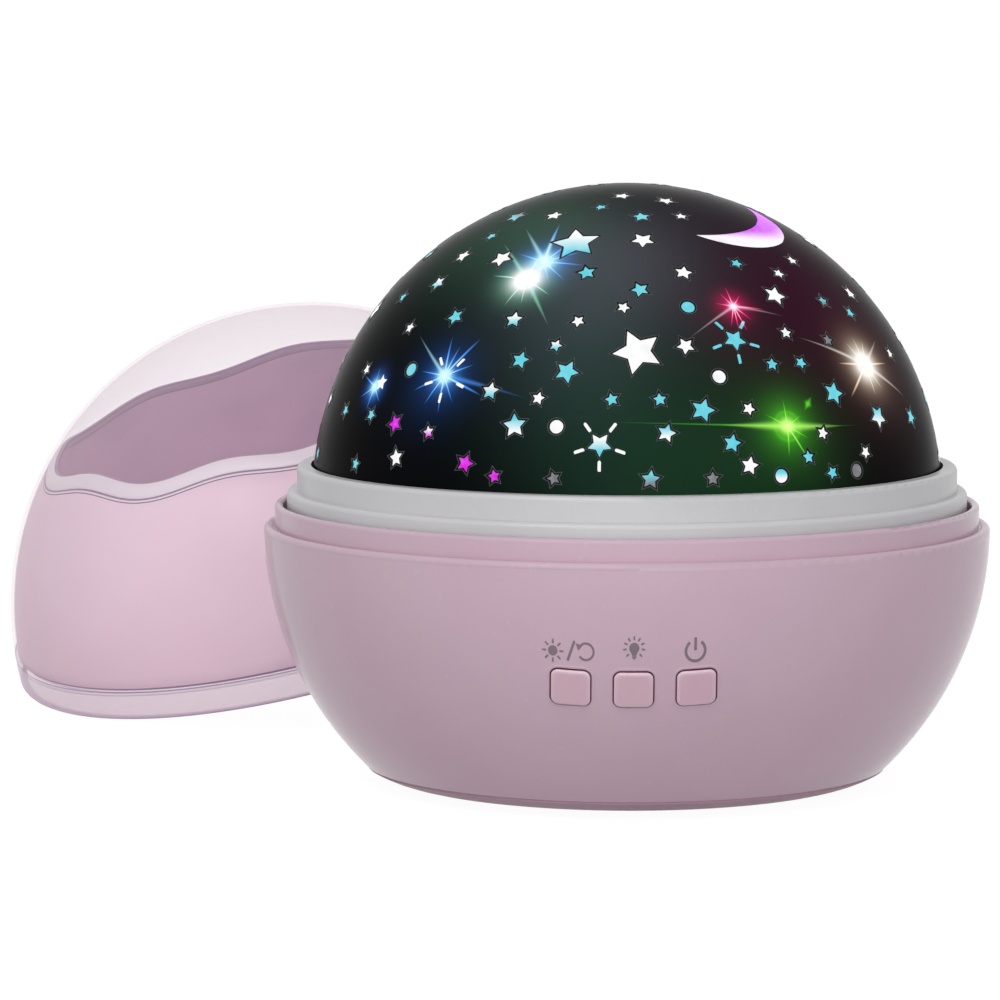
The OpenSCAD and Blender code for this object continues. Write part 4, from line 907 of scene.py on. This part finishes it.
def crescent_outline(radius, steps=36):
    """Crescent between a disc and a larger disc set to its side."""
    cut = MOON_CUT * radius + MOON_GAP
    shift = MOON_SHIFT * radius
    inset = radius - MOON_GAP
    # corner where the two circles meet
    x = (inset ** 2 - cut ** 2 + shift ** 2) / (-2 * shift)
    y = math.sqrt(inset ** 2 - x * x)
    outer_end = math.atan2(y, x)
    inner_end = math.atan2(y, x + shift)
    outer = [(inset * math.cos(a), inset * math.sin(a))
             for a in (outer_end * (2 * i / steps - 1) for i in range(steps + 1))]
    inner = [(cut * math.cos(a) - shift, cut * math.sin(a))
             for a in (inner_end * (1 - 2 * i / steps) for i in range(1, steps))]
    return outer, inner


def widened_star(width, out):
    """Star outline round a window, out beyond its edge, with points along its sides."""
    corners = star_corners(width / 2 + TIP_MITRE * out, width / 2 * STAR_WAIST + WAIST_MITRE * out)
    corners = [Vector(corner) for corner in corners]
    return [corners[i].lerp(corners[(i + 1) % 10], k / 3) for i in range(10) for k in range(3)]


def add_edging(bm, outlines, azimuth, elevation, turn):
    """Dark edging with a thin pale line round one window; outlines run from its inside to its outside."""
    placing = on_dome(azimuth, elevation) @ Matrix.Rotation(math.radians(turn), 3, "Z")
    rings = [[dome_point(placing, point[0], point[1], MASK_R + height) for point in outline]
             for outline, height in zip(outlines, EDGING_HEIGHTS)]
    skin_rings(bm, rings, EDGING_FINISHES, tube=True)


# Rings of an edging, from its inside: mm out from the window, mm above the skin, and which finish
EDGING = (0.0, 0.0, 0.20, 0.27, 0.36, 0.38)
EDGING_HEIGHTS = (-0.3, 0.035, 0.04, 0.055, 0.05, -0.3)
EDGING_FINISHES = (0, 0, 0, 1, 1, 0)
# Glints bright enough to hide edging, and how near in degrees
HIDING_GLINTS = GLINTS[:6]
HIDES_WITHIN = 4
# How far a star's point and waist move out for each mm that its sides do
TIP_MITRE = 1.9
WAIST_MITRE = 1.13
# Edging of a star with rays is narrower, to stay clear of them
RAYED_EDGING = 0.7


def under_glint(azimuth, elevation):
    """True where a glint hides a window's edging."""
    out = Vector((0, 0, 1))
    here = on_dome(azimuth, elevation) @ out
    return any(here.angle(on_dome(*glint[:2]) @ out) < math.radians(HIDES_WITHIN)
               for glint in HIDING_GLINTS)


def make_edgings():
    for half, name in ((0, "window_edging_front"), (180, "window_edging_back")):
        bm = bmesh.new()
        for width, elevation, row in STARS:
            for azimuth in row:
                if under_glint(azimuth, elevation) and half == 0:
                    continue
                outlines = [widened_star(width, out) for out in EDGING]
                add_edging(bm, outlines, azimuth + half, elevation, star_turn(azimuth, elevation))
        for azimuth, elevation in SHINING_STARS:
            if under_glint(azimuth, elevation) and half == 0:
                continue
            outlines = [widened_star(LARGE, out * RAYED_EDGING) for out in EDGING]
            add_edging(bm, outlines, azimuth + half, elevation, RAYED_TURN)
        for azimuth, elevation in DOTS:
            outlines = [disc_outline(DOT / 2 + out, 28) for out in EDGING]
            add_edging(bm, outlines, azimuth + half, elevation, 0)
        for width, azimuth, elevation, _ in SIDE_STARS:
            outlines = [widened_star(width, out) for out in EDGING]
            add_edging(bm, outlines, azimuth + half, elevation, star_turn(azimuth, elevation))
        finish_piece(bm, name, "turntable", [WINDOW_EDGE, WINDOW_LINE])


def make_windows():
    for half, name in ((0, "lit_windows_front"), (180, "lit_windows_back")):
        bm = bmesh.new()
        tint = bm.verts.layers.float_color.new("tint")
        for width, elevation, row in STARS:
            for azimuth, tints in row.items():
                add_window(bm, tint, star_outline(width), azimuth + half, elevation,
                           star_turn(azimuth, elevation), tints, 3 if width == GIANT else 2)
        for (azimuth, elevation), (tints, ray_tints) in SHINING_STARS.items():
            add_window(bm, tint, star_outline(LARGE), azimuth + half, elevation, RAYED_TURN, tints)
            for i in range(5):
                ray = slot_outline(RAY_W, RAY_IN * LARGE + RAY_GAP, RAY_OUT * LARGE - RAY_GAP)
                add_window(bm, tint, ray, azimuth + half, elevation, RAYED_TURN + 72 * i, ray_tints, 1)
        for (azimuth, elevation), tints in DOTS.items():
            add_window(bm, tint, disc_outline(DOT / 2 - DOT_GAP), azimuth + half, elevation, 0, tints)
        for width, azimuth, elevation, tints in SIDE_STARS:
            add_window(bm, tint, star_outline(width), azimuth + half, elevation,
                       star_turn(azimuth, elevation), tints, face=PROUD_FACE)
        finish_piece(bm, name, "turntable", WINDOW)


make_windows()


def make_moons():
    """Two crescents, white along the lower rim and magenta towards the back."""
    for half, name in ((0, "lit_moon_front"), (180, "lit_moon_back")):
        bm = bmesh.new()
        tint = bm.verts.layers.float_color.new("tint")
        outer, inner = crescent_outline(MOON_R)
        placing = (on_dome(MOON_AZIMUTH + half, MOON_ELEVATION)
                   @ Matrix.Rotation(math.radians(MOON_TURN), 3, "Z"))
        inner = ([outer[-1]] + inner + [outer[0]])[::-1]
        layers = []
        for radius in (MASK_R - WINDOW_SUNK, PLUG_INSIDE):
            layer = []
            for rim, cut in zip(outer, inner):
                across = []
                for k in range(9):
                    s = k / 8
                    x = rim[0] * (1 - s) + cut[0] * s
                    y = rim[1] * (1 - s) + cut[1] * s
                    v = bm.verts.new(dome_point(placing, x, y, radius))
                    glow = min(max(1.6 * s + 0.11 * y - 0.15, 0.0), 1.0)
                    v[tint] = MOON_WHITE.lerp(MOON_VIOLET, glow)
                    across.append(v)
                layer.append(across)
            layers.append(layer)
        close_film(bm, *layers)
        bmesh.ops.remove_doubles(bm, verts=bm.verts, dist=0.001)
        finish_piece(bm, name, "turntable", WINDOW)


make_moons()
make_edgings()


# ---------------------------------------------------------------- button row

PANEL_MIDDLE = Vector((0, -(BOWL_ARC_X + BOWL_ARC_R * math.cos(PANEL_DROP)),
                       SHOULDER_Z - BOWL_ARC_R * math.sin(PANEL_DROP)))
PANEL_UP = Vector((0, -math.sin(PANEL_DROP), math.cos(PANEL_DROP)))
PANEL_OUT = Vector((0, -math.cos(PANEL_DROP), -math.sin(PANEL_DROP)))


# Ledge of a cap, in the gap round it and painted dark as shade there: its underside and top below the
# bowl's face, and its width; then where the cap's side begins above it
LEDGE_LOW = 0.62
LEDGE_HIGH = 0.34
LEDGE_W = 0.23
ROLL_FOOT = 0.3
# Rolled rim: radius, how flat it is, and the dip in the middle of the cap
ROLL = 0.62
ROLL_FLATTENED = 0.62
CROWN_DIP = 0.06
# Surround of a button's hole: how far it reaches into the hole, and its foot below the bowl's face
SURROUND_IN = 0.03
SURROUND_FOOT = 0.6


def panel_point(x, y, height):
    """Point x to the side and y up the button row's frame, height out of it."""
    return PANEL_MIDDLE + Vector((x, 0, 0)) + y * PANEL_UP + height * PANEL_OUT


def face_height(x, y, proud):
    """Height in the button row's frame of the bowl's face, raised by proud."""
    low, high = -12.0, 6.0  # halved until the point meets the face
    for _ in range(40):
        middle = (low + high) / 2
        p = panel_point(x, y, middle)
        drop = max(SHOULDER_Z - p.z, 0.0)
        face = BOWL_ARC_X + math.sqrt((BOWL_ARC_R + proud) ** 2 - drop ** 2)
        if math.hypot(p.x, p.y) < face:
            low = middle
        else:
            high = middle
    return low


def level_ring(points, x, height):
    """Ring of an outline about x, at one height of the button row's frame."""
    return [panel_point(x + p.x, p.y, height) for p in points]


def face_ring(points, x, proud, lower=0.0, share=1.0):
    """Ring of an outline about x, shrunk to share, on the bowl's face raised by proud, then lowered."""
    return [panel_point(x + p.x * share, p.y * share,
                        face_height(x + p.x * share, p.y * share, proud) - lower) for p in points]


def rounded_square(half, corner, steps=7, side=6):
    """Closed outline of a rounded square, the same count of points for any size."""
    points = []
    straight = half - corner
    for quarter in range(4):
        turn = Matrix.Rotation(math.radians(90 * quarter), 2)
        for i in range(side):
            points.append(turn @ Vector((half, straight * (2 * i / side - 1))))
        for i in range(steps):
            a = math.pi / 2 * i / steps
            points.append(turn @ Vector((straight + corner * math.cos(a), straight + corner * math.sin(a))))
    return points


def make_button(name, node, body, x):
    """Square cap with a rolled rim in painted highlight, a dished top and a ledge round it painted dark as
    shade, on its flange and stem.
    """
    half = BUTTON_W / 2
    lowest = abs(x) + half + FLANGE_EDGE
    flange_z = -WALL - (BOWL_ARC_R - math.sqrt(BOWL_ARC_R ** 2 - lowest ** 2)) - 0.25 - FLANGE_T
    outline = rounded_square(half, BUTTON_CORNER)
    flange = rounded_square(half + FLANGE_EDGE, BUTTON_CORNER)
    stem = [p.normalized() * STEM_R for p in outline]
    ledge = rounded_square(half + LEDGE_W, BUTTON_CORNER + LEDGE_W)
    rings = [
        level_ring(stem, x, STEM_END),
        level_ring(stem, x, flange_z),
        level_ring(flange, x, flange_z),
        level_ring(flange, x, flange_z + FLANGE_T),
        level_ring(outline, x, flange_z + FLANGE_T),
        face_ring(outline, x, -LEDGE_LOW),
        face_ring(ledge, x, -LEDGE_LOW),
        face_ring(ledge, x, -LEDGE_HIGH),
        face_ring(outline, x, -ROLL_FOOT),
    ]
    for i in range(10):
        a = math.pi / 2 * i / 9
        inset = ROLL * (1 - math.cos(a))
        ring = rounded_square(half - inset, max(BUTTON_CORNER - 0.3 * inset, 0.3))
        rings.append(face_ring(ring, x, BUTTON_PROUD, ROLL * ROLL_FLATTENED * (1 - math.sin(a))))
    last = rounded_square(half - ROLL, BUTTON_CORNER - 0.3 * ROLL)
    for share in (0.85, 0.68, 0.5, 0.32, 0.14):
        rings.append(face_ring(last, x, BUTTON_PROUD, CROWN_DIP * (1 - share), share))
    bm = bmesh.new()
    # Bands from the stem up to the roll's foot are in painted shade, the roll in two painted highlights, the
    # top plain.
    skin_rings(bm, rings, [1] * 9 + [2] * 5 + [3] * 4 + [0] * 5)
    piece = finish_piece(bm, name, body, [BUTTON, GAP_SHADE, BUTTON_EDGE_HIGHLIGHT, BUTTON_ROLL_HIGHLIGHT], 50)
    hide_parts(node)


def make_surround(name, x):
    """Rolled edge of the bowl round one button's hole."""
    half = BUTTON_W / 2 + BUTTON_PLAY
    corner = BUTTON_CORNER + BUTTON_PLAY
    rings = []
    for i in range(9):
        a = math.pi * i / 8
        out = 0.26 * (1 - math.cos(a))
        proud = -0.28 + 0.34 * math.sin(a) if i < 4 else -0.02 + 0.08 * math.sin(a)
        outline = rounded_square(half - SURROUND_IN + out, corner - SURROUND_IN + out)
        rings.append(face_ring(outline, x, proud))
    for wider in (0.25, -SURROUND_IN):
        rings.append(face_ring(rounded_square(half + wider, corner + wider), x, -SURROUND_FOOT))
    bm = bmesh.new()
    skin_rings(bm, rings, tube=True)
    finish_piece(bm, name, "base", SHELL, 60)


BUTTONS = (("turn", -BUTTON_PITCH), ("light", 0.0), ("power", BUTTON_PITCH))
for use, place in BUTTONS:
    make_button("button_cap_" + use, "button_" + use, use + "_button", place)
for use, place in BUTTONS:
    make_surround("button_surround_" + use, place)


# ---------------------------------------------------------------- printed symbols

INK_PROUD = 0.04
INK_SUNK = -0.06
# Symbols stand tall on the sloping face, to look square to a person in front of it
TALL = 1.145


def ink_patch(bm, grid):
    """Thin film of ink over a grid of points, laid on the bowl's face."""
    top, low = ([[bm.verts.new(panel_point(x, y * TALL, face_height(x, y * TALL, proud))) for x, y in row]
                 for row in grid] for proud in (INK_PROUD, INK_SUNK))
    close_film(bm, top, low)


def ink_bar(bm, start, end, width, end_width=None):
    """Straight stroke, which may taper."""
    start, end = Vector(start), Vector(end)
    side = (end - start).normalized().orthogonal()
    end_width = width if end_width is None else end_width
    grid = []
    for i in range(5):
        s = i / 4
        middle = start.lerp(end, s)
        half = (width * (1 - s) + end_width * s) / 2
        grid.append([tuple(middle + side * half * k) for k in (-1, -0.33, 0.33, 1)])
    ink_patch(bm, grid)


def ink_arc(bm, middle, radius, width, start, end, steps=40):
    """Curved stroke from angle start to angle end, in degrees from the right."""
    grid = []
    for i in range(steps + 1):
        a = math.radians(start + (end - start) * i / steps)
        grid.append([(middle[0] + r * math.cos(a), middle[1] + r * math.sin(a))
                     for r in (radius - width / 2, radius, radius + width / 2)])
    ink_patch(bm, grid)


def ink_disc(bm, middle, radius):
    grid = []
    for i in range(17):
        y = radius * math.sin(math.pi / 2 * (i / 8 - 1)) * 0.999
        half = math.sqrt(radius ** 2 - y * y)
        grid.append([(middle[0] + half * k, middle[1] + y) for k in (-1, -0.5, 0, 0.5, 1)])
    ink_patch(bm, grid)


def ink_rays(bm, middle, inner, outer, angles, width):
    for angle in angles:
        a = math.radians(angle)
        direction = Vector((math.cos(a), math.sin(a)))
        near, far = (Vector(middle) + direction * reach for reach in (inner, outer))
        ink_bar(bm, near, far, width, width * 0.8)


def make_symbols():
    bm = bmesh.new()
    sun = (-13.61, 5.75)
    ink_disc(bm, sun, 0.8)
    ink_rays(bm, sun, 1.12, 1.82, range(0, 360, 45), 0.3)
    ink_bar(bm, (-11.11, 4.39), (-10.0, 7.52), 0.4)
    turn = (-8.07, 5.95)
    ink_arc(bm, turn, 1.3, 0.34, 126, -142)
    ink_bar(bm, (-9.18, 7.05), (-9.36, 6.12), 1.2, 0.12)
    finish_piece(bm, "symbol_light_and_turning", "base", INK)

    bm = bmesh.new()
    bulb = (0.05, 6.74)
    ink_disc(bm, bulb, 0.86)
    ink_bar(bm, (0.05, 6.1), (0.05, 5.55), 1.15, 0.66)
    ink_bar(bm, (-0.33, 5.36), (0.43, 5.36), 0.2)
    ink_bar(bm, (-0.2, 5.1), (0.3, 5.1), 0.16)
    ink_rays(bm, bulb, 1.28, 1.86, (90, 57, 25, -8, -45, 123, 155, 188, 225), 0.3)
    finish_piece(bm, "symbol_light", "base", INK)

    bm = bmesh.new()
    power = (10.36, 6.0)
    ink_arc(bm, power, 1.62, 0.46, 126, 414)
    ink_bar(bm, (10.35, 6.08), (10.35, 8.06), 0.46)
    finish_piece(bm, "symbol_power", "base", INK)


make_symbols()


# ---------------------------------------------------------------- cover

def make_cover_shell():
    """Clear dome of the cover: even wall, thick rim band and a rounded edge."""
    skin = COVER_R - COVER_SKIN
    rim_middle, rim_round = COVER_R - RIM_ROUND, RIM_ROUND
    profile = []
    top = math.asin(rim_round / COVER_R)
    for i in range(81):
        a = math.pi / 2 + (top - math.pi / 2) * i / 80
        profile.append((COVER_R * math.cos(a), COVER_R * math.sin(a)))
    for i in range(1, 12):
        a = -math.pi * i / 12
        profile.append((rim_middle + rim_round * math.cos(a), rim_round + rim_round * math.sin(a)))
    for i in range(5):
        z = rim_round + (RIM_BAND - rim_round) * i / 4
        profile.append((math.sqrt(LINER_IN ** 2 - z * z), z))
    outside = len(profile)
    start = math.asin(RIM_BAND / skin)
    for i in range(71):
        a = start + (math.pi / 2 - start) * i / 70
        profile.append((skin * math.cos(a), skin * math.sin(a)))
    rings, steps = [], 360
    for r, z in profile:
        r = max(r, 0.05)
        rings.append([COVER_PLACE @ Vector((r * math.cos(2 * math.pi * i / steps),
                                            r * math.sin(2 * math.pi * i / steps), z)) for i in range(steps)])
    bm = bmesh.new()
    skin_rings(bm, rings, [0] * (outside - 1) + [1] * (len(profile) - outside))
    piece = finish_piece(bm, "cover_dome", "cover", [CLEAR_COVER, CLEAR_INSIDE], 50)
    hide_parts("cover_shell")


def make_liner():
    """Pink sleeve inside the clear cover, its top edge waving, with a pale rolled band under it."""
    # profile up the outside, over the edge and down the inside:
    # (share of the height up to the band, height above or below the wavy edge, radius, finish)
    outer, inner = LINER_R, LINER_IN
    profile = [(share / 12, 0.0, outer - 0.06, 0) for share in range(12)]
    profile[0] = (0.0, 0.0, outer - 0.3, 2)
    profile.insert(1, (0.012, 0.0, outer - 0.08, 0))
    profile += [
        (1.0, -0.82, outer - 0.06, 2), (1.0, -0.74, outer - 0.2, 2), (1.0, -0.62, outer - 0.04, 1),
        (1.0, -0.34, outer - 0.02, 2), (1.0, -0.22, outer - 0.24, 2), (1.0, -0.08, outer - 0.1, 1),
        (1.0, 0.3, outer, 1), (1.0, EDGE_BAND * 0.5, outer, 1), (1.0, EDGE_BAND - 0.5, outer - 0.02, 1),
        (1.0, EDGE_BAND - 0.2, outer - 0.18, 1), (1.0, EDGE_BAND - 0.03, outer - 0.45, 2),
        (1.0, EDGE_BAND, outer - 0.7, 2), (1.0, EDGE_BAND - 0.12, outer - 1.05, 2),
        (1.0, EDGE_BAND - 0.42, inner - 0.38, 4), (1.0, EDGE_BAND * 0.5, inner - 0.42, 4),
        (1.0, 0.45, inner - 0.3, 4), (1.0, 0.1, inner - 0.05, 2), (1.0, -0.25, inner, 3)]
    profile += [(share / 12, 0.0, inner, 3) for share in range(11, -1, -1)]
    rings, steps = [], 288
    low = RIM_BAND + 0.05
    for share, above, radius, _ in profile:
        ring = []
        for i in range(steps):
            turn = 360 * i / steps
            edge = (WAVE_H + WAVE_AMP * math.cos(math.radians(WAVES * (turn - WAVE_START)))
                    + WAVE_LEAN * math.cos(math.radians(turn - LEAN_TURN)))
            z = low + share * (edge - EDGE_BAND - low) + above
            r = math.sqrt(radius ** 2 - z ** 2)
            a = math.radians(turn)
            ring.append(COVER_PLACE @ Vector((r * math.cos(a), r * math.sin(a), z)))
        rings.append(ring)
    bm = bmesh.new()
    skin_rings(bm, rings, [row[3] for row in profile], tube=True)
    # The inside face of the sleeve takes the liner's painted-shade copy.
    finishes = [LINER, LINER_BAND, LINER_LINE, LINER_INNER_SHADE, LINER_LIP]
    piece = finish_piece(bm, "liner_sleeve", "cover", finishes, 60)
    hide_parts("cover_liner")


make_cover_shell()
make_liner()


# ---------------------------------------------------------------- studio

def make_world():
    world = bpy.data.worlds.new("studio_white")
    world.use_nodes = True
    bpy.context.scene.world = world
    tree = world.node_tree
    background = tree.nodes["Background"]
    seen = rays_that_see_white(tree)
    strength = calc(tree, "MULTIPLY_ADD", seen, 0.6, 0.4)
    background.inputs["Color"].default_value = (1, 1, 1, 1)
    tree.links.new(strength, background.inputs["Strength"])


def make_floor():
    bm = bmesh.new()
    bmesh.ops.create_grid(bm, x_segments=4, y_segments=4, size=60)
    data = bpy.data.meshes.new("studio_floor")
    bm.to_mesh(data)
    bm.free()
    material = bpy.data.materials.new("studio_floor")
    material.use_nodes = True
    tree = material.node_tree
    tree.nodes.remove(tree.nodes["Principled BSDF"])
    seen = rays_that_see_white(tree)
    plain = put(tree, "ShaderNodeBsdfDiffuse", {"Color": (0.62, 0.61, 0.62, 1)}).outputs[0]
    faint = put(tree, "ShaderNodeBsdfDiffuse", {"Color": (0.16, 0.16, 0.16, 1)}).outputs[0]
    lift = put(tree, "ShaderNodeEmission", {"Color": (1, 1, 1, 1), "Strength": 0.95}).outputs[0]
    white = put(tree, "ShaderNodeAddShader", {0: faint, 1: lift}).outputs[0]
    surface = put(tree, "ShaderNodeMixShader", {0: seen, 1: plain, 2: white}).outputs[0]
    tree.links.new(surface, tree.nodes["Material Output"].inputs["Surface"])
    data.materials.append(material)
    floor = bpy.data.objects.new("studio_floor", data)
    floor.location.z = -0.0003
    bpy.context.scene.collection.objects.link(floor)


def add_softbox(name, place, aim, width, height, power):
    data = bpy.data.lights.new(name, "AREA")
    data.shape = "RECTANGLE"
    data.size = width
    data.size_y = height
    data.energy = power
    lamp = bpy.data.objects.new(name, data)
    bpy.context.scene.collection.objects.link(lamp)
    lamp.location = place
    lamp.rotation_euler = (Vector(aim) - Vector(place)).to_track_quat("-Z", "Y").to_euler()


make_world()
make_floor()
add_softbox("key_softbox", (-0.30, -0.75, 0.85), (0, 0, 0.05), 0.7, 0.5, 4.0)
add_softbox("fill_softbox", (0.40, -0.95, 0.40), (0, 0, 0.04), 0.5, 0.5, 1.4)
add_softbox("low_softbox", (-0.05, -1.15, 0.16), (0, 0, 0.04), 0.7, 0.26, 1.9)

bpy.context.scene.view_settings.view_transform = "Standard"
